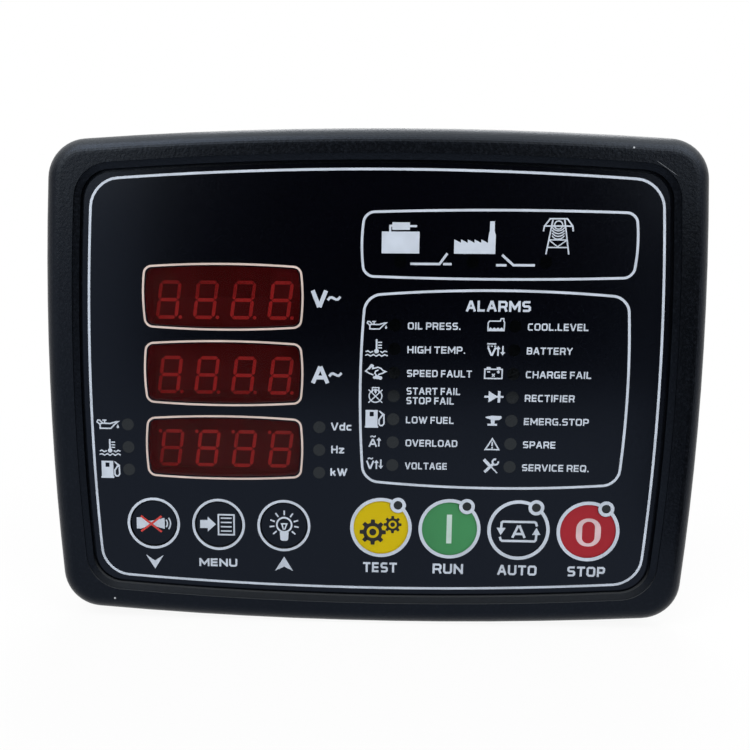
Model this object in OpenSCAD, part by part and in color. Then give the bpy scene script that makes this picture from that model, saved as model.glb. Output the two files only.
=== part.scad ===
// Panel-mounted generating set controller, in millimetres.
// The origin is the middle of the panel cut-out, on the panel's front face.
// X runs to the right, Z runs up and Y runs back through the panel.

/* [Bezel] */
// Width of the bezel across its middle
bezel_w = 200; // [197:0.5:212]
// Height of the bezel across its middle
bezel_h = 153; // [150:0.5:165]
// Bow of the top and bottom edges
bezel_bow_top = 3.7; // [2:0.1:4.5]
// Bow of the left and right edges
bezel_bow_side = 3; // [2:0.1:3.5]
// Radius of the bezel's corners
bezel_corner_r = 12.5; // [12:0.5:16]
// Front of the bezel, measured from the panel
bezel_proud = 11; // [10.5:0.5:14]
// Radius of the rounded outer edge
bezel_edge_r = 5; // [2:0.5:6]
// Chamfer round the back of the outer edge
back_chamfer = 0.8; // [0.3:0.1:1.5]
// Gap between the bezel's back rim and the panel
rim_gap = 0.4; // [0.2:0.1:0.8]
// Wall left round the moulding's hollows in the back of the rim
core_wall = 3.2; // [2.5:0.1:4]
// Thickness of the ribs between those hollows
core_rib = 1.6; // [1:0.1:3]

/* [Recessed face] */
// Width of the overlay film across its middle
overlay_w = 176.6; // [172:0.2:178]
// Height of the overlay film across its middle
overlay_h = 132.4; // [128:0.2:134]
// Breadth of the bezel above and below the film
band_h = 10.3; // [9.5:0.1:12]
// Bow of the overlay's top and bottom edges
overlay_bow_top = 3.4; // [2:0.1:4.5]
// Bow of the overlay's left and right edges
overlay_bow_side = 2.7; // [1.5:0.1:3.5]
// Radius of the overlay's corners
overlay_corner_r = 8.5; // [5:0.5:11]
// Thickness of the overlay film
overlay_t = 0.4; // [0.2:0.05:0.6]
// Gap round the overlay film
overlay_gap = 0.9; // [0.3:0.1:1.2]
// Depth of the film's face behind the bezel's front
overlay_depth = 1.6; // [1.2:0.1:2.5]
// Width of the sloped lip round the recess
lip_w = 1.9; // [1:0.1:2.5]
// Step from the front band down to the lip
lip_step = 0.45; // [0.2:0.05:0.6]
// Fall of the lip towards the recess
lip_fall = 0.5; // [0.2:0.05:0.6]
// Thickness of the front wall behind the film
floor_t = 2.2; // [1.6:0.1:3]
// Depth of the glue gutter at the foot of the recess's wall
gutter_depth = 0.3; // [0.2:0.1:0.6]
// How far the glue gutter reaches under the film
gutter_under = 1; // [0.6:0.1:1.5]

/* [Housing] */
// Width of the body that passes through the panel
skirt_w = 175; // [172:0.5:177]
// Height of the body that passes through the panel
skirt_h = 120; // [118:0.5:122]
// Corner radius of the body
skirt_r = 3; // [2:0.5:5]
// Wall of the front housing
wall = 2.5; // [2:0.1:3]
// Depth of the front housing behind the panel
skirt_depth = 14; // [13.8:0.2:18]
// Radius of the four corner bosses
boss_r = 3.8; // [3.6:0.1:4.4]
// Inset of the corner bosses from the inside walls
boss_inset = 3.5; // [3.2:0.1:3.6]

/* [Gasket] */
// Thickness of the panel gasket
gasket_t = 2; // [1.5:0.1:3]
// Width of the panel gasket
gasket_w = 5; // [3:0.1:5.5]
// Gap between the gasket and the body
gasket_gap = 0.5; // [0.3:0.1:0.8]

/* [Displays] */
// Width of each display window
window_w = 47.2; // [46.5:0.1:48.5]
// Height of each display window
window_h = 18.5; // [17:0.1:20]
// Bow of each window's top and bottom edges
window_bow_top = 0.9; // [0.4:0.1:1.2]
// Bow of each window's left and right edges
window_bow_side = 0.7; // [0.3:0.1:1]
// Corner radius of each window
window_r = 2; // [1:0.1:3]
// Sideways place of the windows' middle
window_x = -45; // [-46:0.1:-44]
// Height of the middle window
window_z = 3.4; // [2.5:0.1:4]
// Distance from one window to the next
window_pitch = 23.3; // [22.6:0.1:24]
// Thickness of the flange behind each red filter
filter_flange_t = 1; // [0.6:0.1:1.5]
// Width of the flange round each red filter
filter_flange_w = 1.2; // [0.8:0.1:1.5]
// Distance from one digit to the next
digit_pitch = 11.5; // [10.8:0.1:11.6]
// Height of a digit
digit_h = 11.8; // [10:0.1:13]
// Width of a digit
digit_w = 6.8; // [5.5:0.1:7]
// How far the digits sit below the middle of their window
digit_drop = 1.1; // [0:0.1:1.5]
// Lean of the digits, in degrees
digit_lean = 8; // [4:1:10]
// Thickness of a digit's segments
segment_t = 1.05; // [0.9:0.05:1.5]
// Gap between neighbouring segments
segment_gap = 0.3; // [0.15:0.05:0.4]
// Diameter of a decimal point
point_d = 1.1; // [0.9:0.1:1.5]
// Depth of the segments in a display's face
segment_depth = 0.6; // [0.4:0.1:1]

/* [Lamps] */
// Diameter of the indicator lamps
lamp_d = 5; // [4:0.5:5]
// Height of an indicator lamp's body
lamp_body_h = 8.6; // [8:0.1:9]
// Diameter of the indicator windows in the film
lamp_window_d = 3.8; // [3:0.1:4]
// Diameter of the lamps beside the large keys
key_lamp_d = 3; // [2.6:0.1:3]
// Height of the body of a lamp beside a key
key_lamp_body_h = 5.3; // [4.8:0.1:6]
// Diameter of those lamps' windows in the film
key_lamp_window_d = 2.7; // [2:0.1:2.8]
// Room round each lamp in the front wall
lamp_gap = 0.1; // [0.05:0.05:0.2]
// Sideways place of the left alarm lamps
alarm_x = 7.1; // [6:0.1:8]
// Distance between the two columns of alarm lamps
alarm_column_pitch = 35.9; // [34:0.1:37]
// Height of the top alarm lamps
alarm_z = 18.6; // [18:0.1:19]
// Distance from one alarm lamp to the next
alarm_pitch = 7.2; // [6.8:0.1:7.4]
// Sideways place of the warning lamps left of the displays
warning_x = -75.1; // [-75.5:0.1:-74]
// Sideways place of the unit lamps right of the displays
unit_x = -15.5; // [-16:0.1:-14]
// Height of the top warning and unit lamps
unit_z = -13; // [-13.5:0.1:-12]
// Distance from one unit lamp to the next
unit_pitch = 7.2; // [6.8:0.1:7.4]
// Sideways place of the supply diagram's first lamp
mimic_x = 8.4; // [7:0.1:10]
// Distance from one diagram lamp to the next
mimic_pitch = 21.4; // [20:0.1:22]
// Height of the diagram lamps
mimic_z = 37.6; // [37:0.1:38]

/* [Keys] */
// Diameter of the openings for the small keys
small_key_d = 15.1; // [14:0.1:15.6]
// Sideways place of the first small key
small_key_x = -67.7; // [-68:0.1:-66]
// Distance from one small key to the next
small_key_pitch = 20.6; // [20:0.1:21]
// Diameter of the openings for the large keys
large_key_d = 17.3; // [16:0.1:17.6]
// Sideways place of the first large key
large_key_x = 3.9; // [3:0.1:5]
// Distance from one large key to the next
large_key_pitch = 21.3; // [20.8:0.1:21.4]
// Height of the row of keys
key_z = -44.7; // [-45:0.1:-44]
// Gap round a key in its opening
key_gap = 0.25; // [0.15:0.05:0.4]
// Depth of a key's face behind the film
key_recess = 0.3; // [0.1:0.05:0.5]
// Chamfer round a key's face
key_chamfer = 0.2; // [0.1:0.05:0.4]
// Width of the rim that holds a key behind the front wall
key_rim_w = 1; // [0.8:0.1:1.2]
// Thickness of that rim
key_rim_t = 1.1; // [0.8:0.1:1.4]
// Diameter of the stem behind a key
key_stem_d = 4.4; // [4:0.1:5]
// Travel of a key
key_travel = 0.5; // [0.3:0.1:0.8]
// Sideways offset of a large key's lamp
key_lamp_x = 5.2; // [5:0.1:5.5]
// Upward offset of a large key's lamp
key_lamp_z = 7.3; // [7.2:0.1:7.6]
// Diameter of the film left round a large key's lamp
key_lamp_land_d = 5; // [4.8:0.1:5.2]

/* [Key switches] */
// Side of a switch's square body
switch_w = 6; // [5:0.1:7]
// Height of a switch's body
switch_h = 3.6; // [3:0.1:3.8]
// Diameter of a switch's plunger
plunger_d = 3.4; // [3:0.1:4]
// Length of the plunger that stands out of its switch
plunger_out = 1.5; // [1.2:0.1:1.8]
// Length of the plunger inside its switch
plunger_in = 0.9; // [0.6:0.1:1.2]
// Gap round the plunger in its switch
plunger_gap = 0.1; // [0.05:0.01:0.1]

/* [Boards] */
// Thickness of both circuit boards
board_t = 1.6; // [1.2:0.1:2]
// Face of the display board behind the panel
board_behind = 1.5; // [1.2:0.1:1.8]
// Space between the two boards
board_space = 8.9; // [8.5:0.1:9.1]
// Gap between the boards and the side walls
board_side_gap = 8; // [7.8:0.1:8.2]
// Gap between the boards and the top and bottom walls
board_end_gap = 3.5; // [2.5:0.1:4]
// Width across the flats of the pillars between the boards
pillar_w = 5.5; // [5:0.1:6]
// Distance of the pillars from the boards' edges
pillar_inset = 4; // [3.5:0.1:4.5]
// Distance of the upper pillars from the boards' top edge
pillar_drop = 6; // [5:0.1:7]
// Height of the right pillar above the lowest one
pillar_rise = 24; // [20:0.5:28]
// Sideways place of the lowest pillar, between the small and the large keys
middle_pillar_x = -11.5; // [-12:0.1:-11]
// How much further out the left pillar stands
left_pillar_out = 0.8; // [0.5:0.1:1]
// Height of the left pillar, above the warning lamps
left_pillar_z = -4; // [-5:0.1:-2]
// Diameter of the pillars' studs
stud_d = 2.4; // [2:0.1:2.6]
// Length of a stud into its boss
stud_l = 4.5; // [3:0.1:5]
// Radius of the bosses that the board stands on
board_boss_r = 3; // [2.6:0.1:3.2]
// Clearance round screws and studs
screw_gap = 0.05; // [0.03:0.01:0.1]
// Diameter of the board screws' heads
screw_head_d = 5.2; // [4.6:0.1:5.4]
// Height of the screws' heads
screw_head_h = 1.8; // [1.4:0.1:2.2]
// Length of a board screw below its head
screw_l = 5; // [4:0.1:6]

/* [Rear cover] */
// Back of the rear cover behind the panel
body_depth = 36; // [34:0.5:42]
// Ledges for the terminals behind the panel
ledge_depth = 24; // [23:0.2:25]
// Height of the raised block between the ledges
block_h = 70; // [66:0.5:72]
// Wall of the rear cover
cover_wall = 2; // [1.6:0.1:2.4]
// Length of the tongue inside the front housing
tongue_l = 3.5; // [2:0.1:4]
// Thickness of that tongue
tongue_t = 1.5; // [1:0.1:1.8]
// Clearance between the cover and the front housing
fit_gap = 0.2; // [0.1:0.05:0.3]
// Length of a cover screw below its head
cover_screw_l = 17; // [14:0.5:18]
// Width of a ventilation slot
vent_w = 2; // [1.5:0.1:2.5]
// Length of a ventilation slot
vent_l = 26; // [16:1:30]
// Distance from one ventilation slot to the next
vent_pitch = 5; // [4:0.1:6]

/* [Terminals] */
// Pitch of the power terminals
power_pitch = 7.62; // [7.5:0.01:7.62]
// Pitch of the signal terminals
signal_pitch = 5.08; // [5:0.01:5.08]
// Height of the terminal rows from the middle
terminal_z = 46; // [45.6:0.1:46.4]
// Sideways place of the control terminals
control_x = -44; // [-45:0.5:-42]
// Sideways place of the supply terminals
supply_x = 17; // [14:0.5:20]
// Height of a header above its board
header_h = 12; // [11.5:0.1:13]
// Depth of a header across its row
header_d = 8.6; // [8:0.1:9]
// Wall of a header's shroud
header_wall = 0.9; // [0.7:0.1:1.1]
// Floor of a header's shroud
header_floor = 2.8; // [2:0.1:3]
// Clearance of a plug in its header
plug_gap = 0.15; // [0.1:0.05:0.2]
// Depth of a plug's body across its row
plug_d = 11; // [10:0.1:11.5]
// Height of a plug's body behind its header
plug_h = 9; // [8.5:0.1:9.4]
// Side of a wire entry
wire_w = 2.8; // [2.2:0.1:3]
// Diameter of a terminal screw
terminal_screw_d = 3; // [2.4:0.1:3.2]
// Side of a terminal pin
pin_w = 1; // [0.8:0.1:1.1]

/* [Inner parts] */
// Length of a relay
relay_w = 19; // [17:0.5:20]
// Breadth of a relay
relay_h = 15.5; // [13:0.5:16]
// Height of a relay above its board
relay_rise = 15.3; // [10:0.1:17]
// Side of a current transformer's case
transformer_w = 16; // [13:0.5:17]
// Height of a current transformer above its board
transformer_rise = 16; // [10:0.5:17]
// Diameter of a capacitor
can_d = 10; // [8:0.5:11]
// Height of a capacitor above its board
can_rise = 12.5; // [8:0.5:16]
// Radius of the inductor's ring
ring_r = 5.5; // [4.5:0.1:7]
// Radius of the winding round that ring
winding_r = 3; // [2:0.1:3.5]
// Side of the processor chip
chip_w = 14; // [10:0.5:20]
// Thickness of the processor chip
chip_t = 1.6; // [1:0.1:2.5]
// Length of the plug-in link between the boards
link_w = 33; // [20:0.5:40]
// Breadth of that link
link_d = 5; // [4:0.1:6]
// Height of that link, between the displays and the keys
link_z = -36; // [-36.5:0.1:-35.5]
// Part of the link that is fixed to the display board
link_header_h = 3; // [2:0.1:4]
// Gap between neighbouring inner parts
part_gap = 3; // [2:0.1:4]

/* [Panel clips] */
// Thickness of the spring steel
clip_t = 0.8; // [0.6:0.1:1]
// Height of a clip along the side of the body
clip_w = 30; // [20:1:40]
// Height of the clip's hook
hook_w = 12; // [8:0.5:16]
// Depth of the hook in the body's wall
hook_in = 1.6; // [1.2:0.1:1.8]
// Reach of the clip's leaf from the body
clip_reach = 7.6; // [6:0.1:8]
// Gap between the clip's toe and the panel's front face
clip_toe = 2.8; // [2.6:0.1:4]
// Distance of the hook from the end of the front housing
hook_margin = 1; // [0.8:0.1:2]
// Length of the clip's leg along the body
clip_leg = 5; // [4:0.1:5.5]

/* [Hidden] */
$fn = 64;
// Facets of the long, shallow arcs
arc_fn = 720;
// Splices across the joints of swept arcs: half their angle, and how far in or out of the section they stay
splice_angle = 1.5;
splice_skin = 0.01;
// Extra length of a cut past the face that it opens
past = 1;

// Heights on the face and body are drawn for a bezel that fits the film and its bands,
// and stretch with the bezel
stretch = bezel_h / (overlay_h + 2 * band_h);
face_h = stretch * overlay_h;
body_h = stretch * skirt_h;
row_z = stretch * terminal_z;

// Levels, counted from the panel towards the viewer
overlay_front = bezel_proud - overlay_depth;
floor_front = overlay_front - overlay_t;
gutter_w = overlay_gap + gutter_under;
floor_back = floor_front - floor_t;
filter_back = floor_back - filter_flange_t;
board_front = -board_behind;
board_back = board_front - board_t;
main_front = board_back - board_space;
main_back = main_front - board_t;
switch_top = board_front + switch_h;
plunger_tip = switch_top + plunger_out;
key_rim_back = floor_back - key_rim_t;
lamp_top = floor_front - lamp_gap;
ledge_back = -ledge_depth;
header_back = main_back - header_h;
plug_back = header_back - plug_h;
wire_level = (header_back + plug_back) / 2;
cover_screw_tip = ledge_back + cover_screw_l;
hook_level = clip_t + hook_margin - skirt_depth;

// Outlines as [width, height, bow of top and bottom, bow of sides, corner radius]
bezel_shape = [bezel_w, bezel_h, bezel_bow_top, bezel_bow_side, bezel_corner_r];
overlay_shape = [overlay_w, face_h, overlay_bow_top, overlay_bow_side, overlay_corner_r];
window_shape = [window_w, window_h, window_bow_top, window_bow_side, window_r];

// Breadth of the swept outer rim, and its overlap with the plate inside it
rim_margin = 0.5;
rim_overlap = 0.4;
rim_breadth = bezel_corner_r - rim_margin;

inner_w = skirt_w - 2 * wall;
inner_h = body_h - 2 * wall;
board_w = inner_w - 2 * board_side_gap;
board_h = inner_h - 2 * board_end_gap;
groove_w = skirt_w + 2 * (gasket_gap + gasket_w);
groove_h = body_h + 2 * (gasket_gap + gasket_w);

boss_x = inner_w / 2 - boss_inset;
boss_z = inner_h / 2 - boss_inset;
boss_places = [for (x = [-boss_x, boss_x], z = [-boss_z, boss_z]) [x, z]];
// Pillars stand near the boards' edges, clear of the keys, lamps and displays
pillar_x = board_w / 2 - pillar_inset;
pillar_top = board_h / 2 - pillar_drop;
pillar_bottom = pillar_inset - board_h / 2;
pillar_places = [
    [-pillar_x, pillar_top],
    [pillar_x, pillar_top],
    [pillar_x, pillar_bottom + pillar_rise],
    [middle_pillar_x, pillar_bottom],
    [-pillar_x - left_pillar_out, stretch * left_pillar_z]
];

window_places = [for (i = [1, 0, -1]) [window_x, stretch * (window_z + i * window_pitch)]];
alarm_places = [for (c = [0, 1], i = [0:6])
    [alarm_x + c * alarm_column_pitch, stretch * (alarm_z - i * alarm_pitch)]];
unit_places = [for (x = [warning_x, unit_x], i = [0:2]) [x, stretch * (unit_z - i * unit_pitch)]];
mimic_places = [for (i = [0:2]) [mimic_x + i * mimic_pitch, stretch * mimic_z]];
lamp_places = concat(alarm_places, unit_places, mimic_places);
small_key_places = [for (i = [0:2]) [small_key_x + i * small_key_pitch, stretch * key_z]];
large_key_places = [for (i = [0:3]) [large_key_x + i * large_key_pitch, stretch * key_z]];
key_places = concat(small_key_places, large_key_places);
key_lamp_offset = [key_lamp_x, key_lamp_z];

// Terminal rows as [middle, number of ways, pitch, side of the panel that the wires come from]
header_gap = 2.5;
power_ways = 4;
current_ways = 6;
control_ways = 11;
supply_ways = 8;
function row_width(row) = row[1] * row[2] + 2 * header_wall;
power_w = power_ways * power_pitch + 2 * header_wall;
current_w = current_ways * signal_pitch + 2 * header_wall;
mains_row = [-power_w - (current_w + 3 * header_gap) / 2, power_ways, power_pitch, 1];
generator_row = [mains_row[0] + power_w + header_gap, power_ways, power_pitch, 1];
contactor_row = [generator_row[0] + power_w + header_gap, power_ways, power_pitch, 1];
current_row = [contactor_row[0] + (power_w + current_w) / 2 + header_gap, current_ways, signal_pitch, 1];
control_row = [control_x, control_ways, signal_pitch, -1];
supply_row = [supply_x, supply_ways, signal_pitch, -1];
terminal_rows = [mains_row, generator_row, contactor_row, current_row, control_row, supply_row];

// Radius of an arc that rises by bow over half its chord
function arc_radius(half, bow) = (half * half + bow * bow) / (2 * bow);

// Arcs of a bowed outline: top centre and radius, side centre and radius, corner centre and radius,
// and the angles where the corner meets the top and the side
function bowed_arcs(shape, inset = 0) =
    let (
        half_w = shape[0] / 2,
        half_h = shape[1] / 2,
        top_r = arc_radius(half_w - shape[3], shape[2]),
        side_r = arc_radius(half_h - shape[2], shape[3]),
        top = [0, half_h - top_r],
        side = [half_w - side_r, 0],
        d = norm(side - top),
        e = (side - top) / d,
        reach = top_r - shape[4],
        along = (reach * reach - pow(side_r - shape[4], 2) + d * d) / (2 * d),
        corner = top + along * e + sqrt(reach * reach - along * along) * [e.y, -e.x],
        top_angle = atan2(corner.y - top.y, corner.x),
        side_angle = atan2(corner.y, corner.x - side.x)
    )
    [top, top_r - inset, side, side_r - inset, corner, shape[4] - inset, top_angle, side_angle];

function arc_points(centre, r, from, to, steps) =
    [for (i = [0:steps])
        let (a = from + (to - from) * i / steps)
        centre + r * [cos(a), sin(a)]];

// A quarter of a bowed outline, from the right to the top
function bowed_quarter(shape, inset) =
    let (a = bowed_arcs(shape, inset))
    concat(
        [for (p = arc_points(a[2], a[3], 0, a[7], 6)) p],
        [for (i = [1:8]) arc_points(a[4], a[5], a[7], a[6], 8)[i]],
        [for (i = [1:6]) arc_points(a[0], a[1], a[6], 90, 6)[i]]
    );

function turned_back(points) = [for (i = [len(points) - 1:-1:0]) points[i]];

// The whole outline of a bowed shape, set in by inset
function bowed_outline(shape, inset = 0) =
    let (
        q = bowed_quarter(shape, inset),
        upper = concat(q, [for (p = turned_back(q)) if (p.x > 1e-6) [-p.x, p.y]])
    )
    concat(upper, [for (p = turned_back(upper)) if (p.y > 1e-6) [p.x, -p.y]]);

function rounded_rect(w, h, r) =
    [for (q = [0:3], p = arc_points([0, 0], r, 90 * q, 90 * q + 90, 6))
        [(q == 0 || q == 3 ? 1 : -1) * (w / 2 - r), (q < 2 ? 1 : -1) * (h / 2 - r)] + p];

function moved(points, at) = [for (p = points) p + at];
function leaned(points) = [for (p = points) [p.x + p.y * tan(digit_lean), p.y]];

// Puts a shape drawn on the panel, with Z towards the viewer, into the model's frame
module on_panel() {
    rotate([90, 0, 0]) children();
}

module slab(points, from, to) {
    translate([0, 0, from]) linear_extrude(to - from) polygon(points);
}

module rod(at, d, from, to) {
    translate([at.x, at.y, from]) cylinder(d = d, h = to - from);
}

module block(at, w, h, from, to) {
    translate([at.x - w / 2, at.y - h / 2, from]) cube([w, h, to - from]);
}

// Sweeps a section round a bowed outline: the section's X is outwards from the outline.
// Splices, a hair smaller or larger than the section, run across the joints between the arcs
module bowed_sweep(shape, section, splice) {
    a = bowed_arcs(shape);
    for (m = [0, 1]) {
        mirror([0, m, 0]) translate(a[0]) rotate([0, 0, a[6]])
            rotate_extrude(angle = 180 - 2 * a[6], $fn = arc_fn) translate([a[1], 0]) polygon(section);
        mirror([m, 0, 0]) translate(a[2]) rotate([0, 0, -a[7]])
            rotate_extrude(angle = 2 * a[7], $fn = arc_fn) translate([a[3], 0]) polygon(section);
        for (n = [0, 1]) mirror([m, 0, 0]) mirror([0, n, 0]) translate(a[4]) {
            rotate([0, 0, a[7]])
                rotate_extrude(angle = a[6] - a[7]) translate([a[5], 0]) polygon(section);
            for (joint = [a[6], a[7]])
                rotate([0, 0, joint - splice_angle])
                    rotate_extrude(angle = 2 * splice_angle) translate([a[5], 0]) polygon(splice);
        }
    }
}

// Section of the outer rim, set in by a skin: back chamfer, rounded edge and flat front band
function rim_section(skin = 0) =
    concat(
        [[skin - rim_breadth, rim_gap + skin], [-back_chamfer - skin, rim_gap + skin],
            [-skin, rim_gap + back_chamfer + skin]],
        arc_points([-bezel_edge_r, bezel_proud - bezel_edge_r], bezel_edge_r - skin, 0, 90, 12),
        [[skin - rim_breadth, bezel_proud - skin]]
    );

// Section of the cut for the recess's wall, the glue gutter at its foot and the sloped lip, set in by a skin
function recess_section(skin = 0) =
    let (
        lip_top = bezel_proud - lip_step + skin,
        gutter = floor_front - gutter_depth + skin,
        inner = skin - gutter_w,
        outer = lip_w - skin
    )
    [
        [inner, gutter], [-skin, gutter], [-skin, lip_top - lip_fall], [outer, lip_top],
        [outer, bezel_proud + past], [inner, bezel_proud + past]
    ];

function recess_shape() = overlay_shape + 2 * overlay_gap * [1, 1, 0, 0, 0.5];

// Opening for a large key, with a land left for its lamp
module large_key_opening(at, from, to) {
    difference() {
        rod(at, large_key_d, from, to);
        rod(at + key_lamp_offset, key_lamp_land_d, from - past, to + past);
    }
}

// Openings for the displays, lamps and keys
module face_openings(lamp_hole, key_lamp_hole, from, to) {
    for (at = window_places) slab(moved(bowed_outline(window_shape), at), from, to);
    for (at = lamp_places) rod(at, lamp_hole, from, to);
    for (at = small_key_places) rod(at, small_key_d, from, to);
    for (at = large_key_places) {
        large_key_opening(at, from, to);
        rod(at + key_lamp_offset, key_lamp_hole, from, to);
    }
}

// Hollows moulded into the back of the rim, above and below the gasket
module rim_hollows() {
    span = bezel_w - 2 * (bezel_corner_r + bezel_bow_side + core_wall);
    cells = 8;
    start = groove_h / 2 + core_wall;
    for (side = [-1, 1], i = [0:cells - 1])
        intersection() {
            slab(bowed_outline(bezel_shape, core_wall), rim_gap - past, floor_back);
            block(
                [(i + 0.5) * span / cells - span / 2, side * (start + bezel_h / 4)],
                span / cells - core_rib, bezel_h / 2, rim_gap - past, floor_back
            );
        }
}

module front_shell() {
    difference() {
        union() {
            bowed_sweep(bezel_shape, rim_section(), rim_section(splice_skin));
            slab(bowed_outline(bezel_shape, rim_breadth - rim_overlap), rim_gap, bezel_proud);
            slab(rounded_rect(skirt_w, body_h, skirt_r), -skirt_depth, floor_back);
        }
        slab(rounded_rect(inner_w, inner_h, skirt_r), -skirt_depth - past, floor_back);
        bowed_sweep(recess_shape(), recess_section(), recess_section(-splice_skin));
        slab(bowed_outline(recess_shape(), gutter_w / 2), floor_front, bezel_proud + 2 * past);
        difference() {
            slab(rounded_rect(groove_w, groove_h, skirt_r + gasket_w), rim_gap - past, gasket_t);
            slab(rounded_rect(skirt_w, body_h, skirt_r), rim_gap - 2 * past, gasket_t + past);
        }
        rim_hollows();
    }
}

module front_bezel() {
    color("#2a2c2f") on_panel() difference() {
        union() {
            front_shell();
            for (at = boss_places) rod(at, 2 * boss_r, -skirt_depth, floor_back + past / 2);
            for (at = pillar_places) rod(at, 2 * board_boss_r, board_front, floor_back + past / 2);
        }
        face_openings(lamp_d + 2 * lamp_gap, key_lamp_d + 2 * lamp_gap,
            floor_back - past, floor_front + past);
        for (at = boss_places) rod(at, stud_d + 2 * screw_gap, -skirt_depth - past, cover_screw_tip + past);
        for (at = pillar_places)
            rod(at, stud_d + 2 * screw_gap, board_front - past, board_front + stud_l + past / 2);
        for (side = [-1, 1])
            block([side * (skirt_w / 2 - hook_in / 2), 0], hook_in + 2 * fit_gap, hook_w + 2 * fit_gap,
                hook_level - clip_t / 2 - fit_gap, hook_level + clip_t / 2 + fit_gap);
    }
}

module front_overlay() {
    color("#14161d") on_panel() difference() {
        slab(bowed_outline(overlay_shape), floor_front, overlay_front);
        face_openings(lamp_window_d, key_lamp_window_d, floor_front - past, overlay_front + past);
    }
}

// Red filter that fills one display window from behind
module display_filter(at) {
    front = moved(bowed_outline(window_shape, fit_gap / 2), at);
    flange = moved(bowed_outline(window_shape, -filter_flange_w), at);
    color("#3c0205") on_panel() {
        slab(front, floor_back - past / 2, overlay_front);
        slab(flange, filter_back, floor_back);
    }
}

module volts_filter() display_filter(window_places[0]);
module amps_filter() display_filter(window_places[1]);
module readout_filter() display_filter(window_places[2]);

// Key turned from one profile: face, body, holding rim and stem
module key_blank(at, d) {
    face = overlay_front - key_recess;
    body_r = d / 2 - key_gap;
    rim_r = d / 2 + key_rim_w;
    translate([at.x, at.y, 0]) rotate_extrude() polygon([
        [0, plunger_tip], [key_stem_d / 2, plunger_tip], [key_stem_d / 2, key_rim_back],
        [rim_r, key_rim_back], [rim_r, floor_back], [body_r, floor_back],
        [body_r, face - key_chamfer], [body_r - key_chamfer, face], [0, face]
    ]);
}

module small_key(i, tint) {
    color(tint) on_panel() key_blank(small_key_places[i], small_key_d);
}

module large_key(i, tint) {
    at = large_key_places[i];
    color(tint) on_panel() difference() {
        key_blank(at, large_key_d);
        rod(at + key_lamp_offset, key_lamp_land_d + 2 * key_gap, key_rim_back - past, overlay_front + past);
    }
}

module mute_key() small_key(0, "#14161d");
module menu_key() small_key(1, "#14161d");
module lamp_key() small_key(2, "#14161d");
module test_key() large_key(0, "#dcbc10");
module run_key() large_key(1, "#489655");
module auto_key() large_key(2, "#14161d");
module stop_key() large_key(3, "#af2a2d");

module plunger(at) {
    color("#d8d8d4") on_panel() rod(at, plunger_d, switch_top - plunger_in, plunger_tip);
}

module mute_plunger() plunger(key_places[0]);
module menu_plunger() plunger(key_places[1]);
module lamp_plunger() plunger(key_places[2]);
module test_plunger() plunger(key_places[3]);
module run_plunger() plunger(key_places[4]);
module auto_plunger() plunger(key_places[5]);
module stop_plunger() plunger(key_places[6]);

module key_switches() {
    well = plunger_in + key_travel + plunger_gap;
    color("#303030") on_panel() for (at = key_places)
        difference() {
            block(at, switch_w, switch_w, board_front, switch_top);
            rod(at, plunger_d + 2 * plunger_gap, switch_top - well, switch_top + past);
        }
}

// One bar with pointed ends, along X
function bar(l) =
    [[-l / 2, 0], [(segment_t - l) / 2, segment_t / 2], [(l - segment_t) / 2, segment_t / 2],
        [l / 2, 0], [(l - segment_t) / 2, -segment_t / 2], [(segment_t - l) / 2, -segment_t / 2]];
function upright(points) = [for (p = points) [p.y, p.x]];

// The seven bars of a digit
digit_bars =
    let (
        across = digit_w - segment_t - segment_gap,
        rise = (digit_h - segment_t) / 2,
        out = (digit_w - segment_t) / 2
    )
    concat(
        [for (i = [-1, 0, 1]) leaned(moved(bar(across), [0, i * rise]))],
        [for (x = [-out, out], y = [-rise, rise]) leaned(moved(upright(bar(rise - segment_gap)), [x, y / 2]))]
    );

// Bars and decimal points of a display; the lowest display is fitted upside down
module digits(i, from, to) {
    point = leaned([[(digit_w + point_d) / 2 + segment_gap, (point_d - digit_h) / 2]])[0];
    translate([window_places[i].x, window_places[i].y - digit_drop, 0]) rotate([0, 0, i == 2 ? 180 : 0])
        for (n = [-1.5:1:1.5]) translate([n * digit_pitch, 0, 0]) {
            for (points = digit_bars) slab(points, from, to);
            rod(point, point_d, from, to);
        }
}

module display(i) {
    color("#241012") on_panel() difference() {
        block(window_places[i], window_w + 2 * fit_gap, window_h + 2 * fit_gap, board_front, filter_back);
        digits(i, filter_back - segment_depth, filter_back + past);
    }
}

module volts_display() display(0);
module amps_display() display(1);
module readout_display() display(2);

module display_segments() {
    color("#8c1a18") on_panel() for (i = [0:2]) digits(i, filter_back - segment_depth, filter_back);
}

// Round-topped lamp with a base rim and two leads down to the board
module lamp(at, d, body_h) {
    r = d / 2;
    base = lamp_top - body_h;
    rim_r = r + 0.4;
    rim_top = base + 1;
    lead_w = 0.5;
    lead_pitch = 2.54;
    translate([at.x, at.y, 0]) {
        rotate_extrude() polygon(concat(
            [[0, base], [rim_r, base], [rim_r, rim_top], [r, rim_top]],
            arc_points([0, lamp_top - r], r, 0, 90, 12)
        ));
        for (side = [-1, 1]) block([side * lead_pitch / 2, 0], lead_w, lead_w, board_front, base + past / 2);
    }
}

module indicator_lamps() {
    color("#54575c") on_panel() {
        for (at = lamp_places) lamp(at, lamp_d, lamp_body_h);
        for (at = large_key_places) lamp(at + key_lamp_offset, key_lamp_d, key_lamp_body_h);
    }
}

// Circuit board with rounded corners and a hole at every pillar
module board(from) {
    difference() {
        slab(rounded_rect(board_w, board_h, board_end_gap), from - board_t, from);
        for (at = pillar_places) rod(at, stud_d + 4 * fit_gap, from - board_t - past, from + past);
    }
}

module display_board() {
    color("#1d5a36") on_panel() board(board_front);
}

module main_board() {
    color("#1d5a36") on_panel() board(main_front);
}

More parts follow.
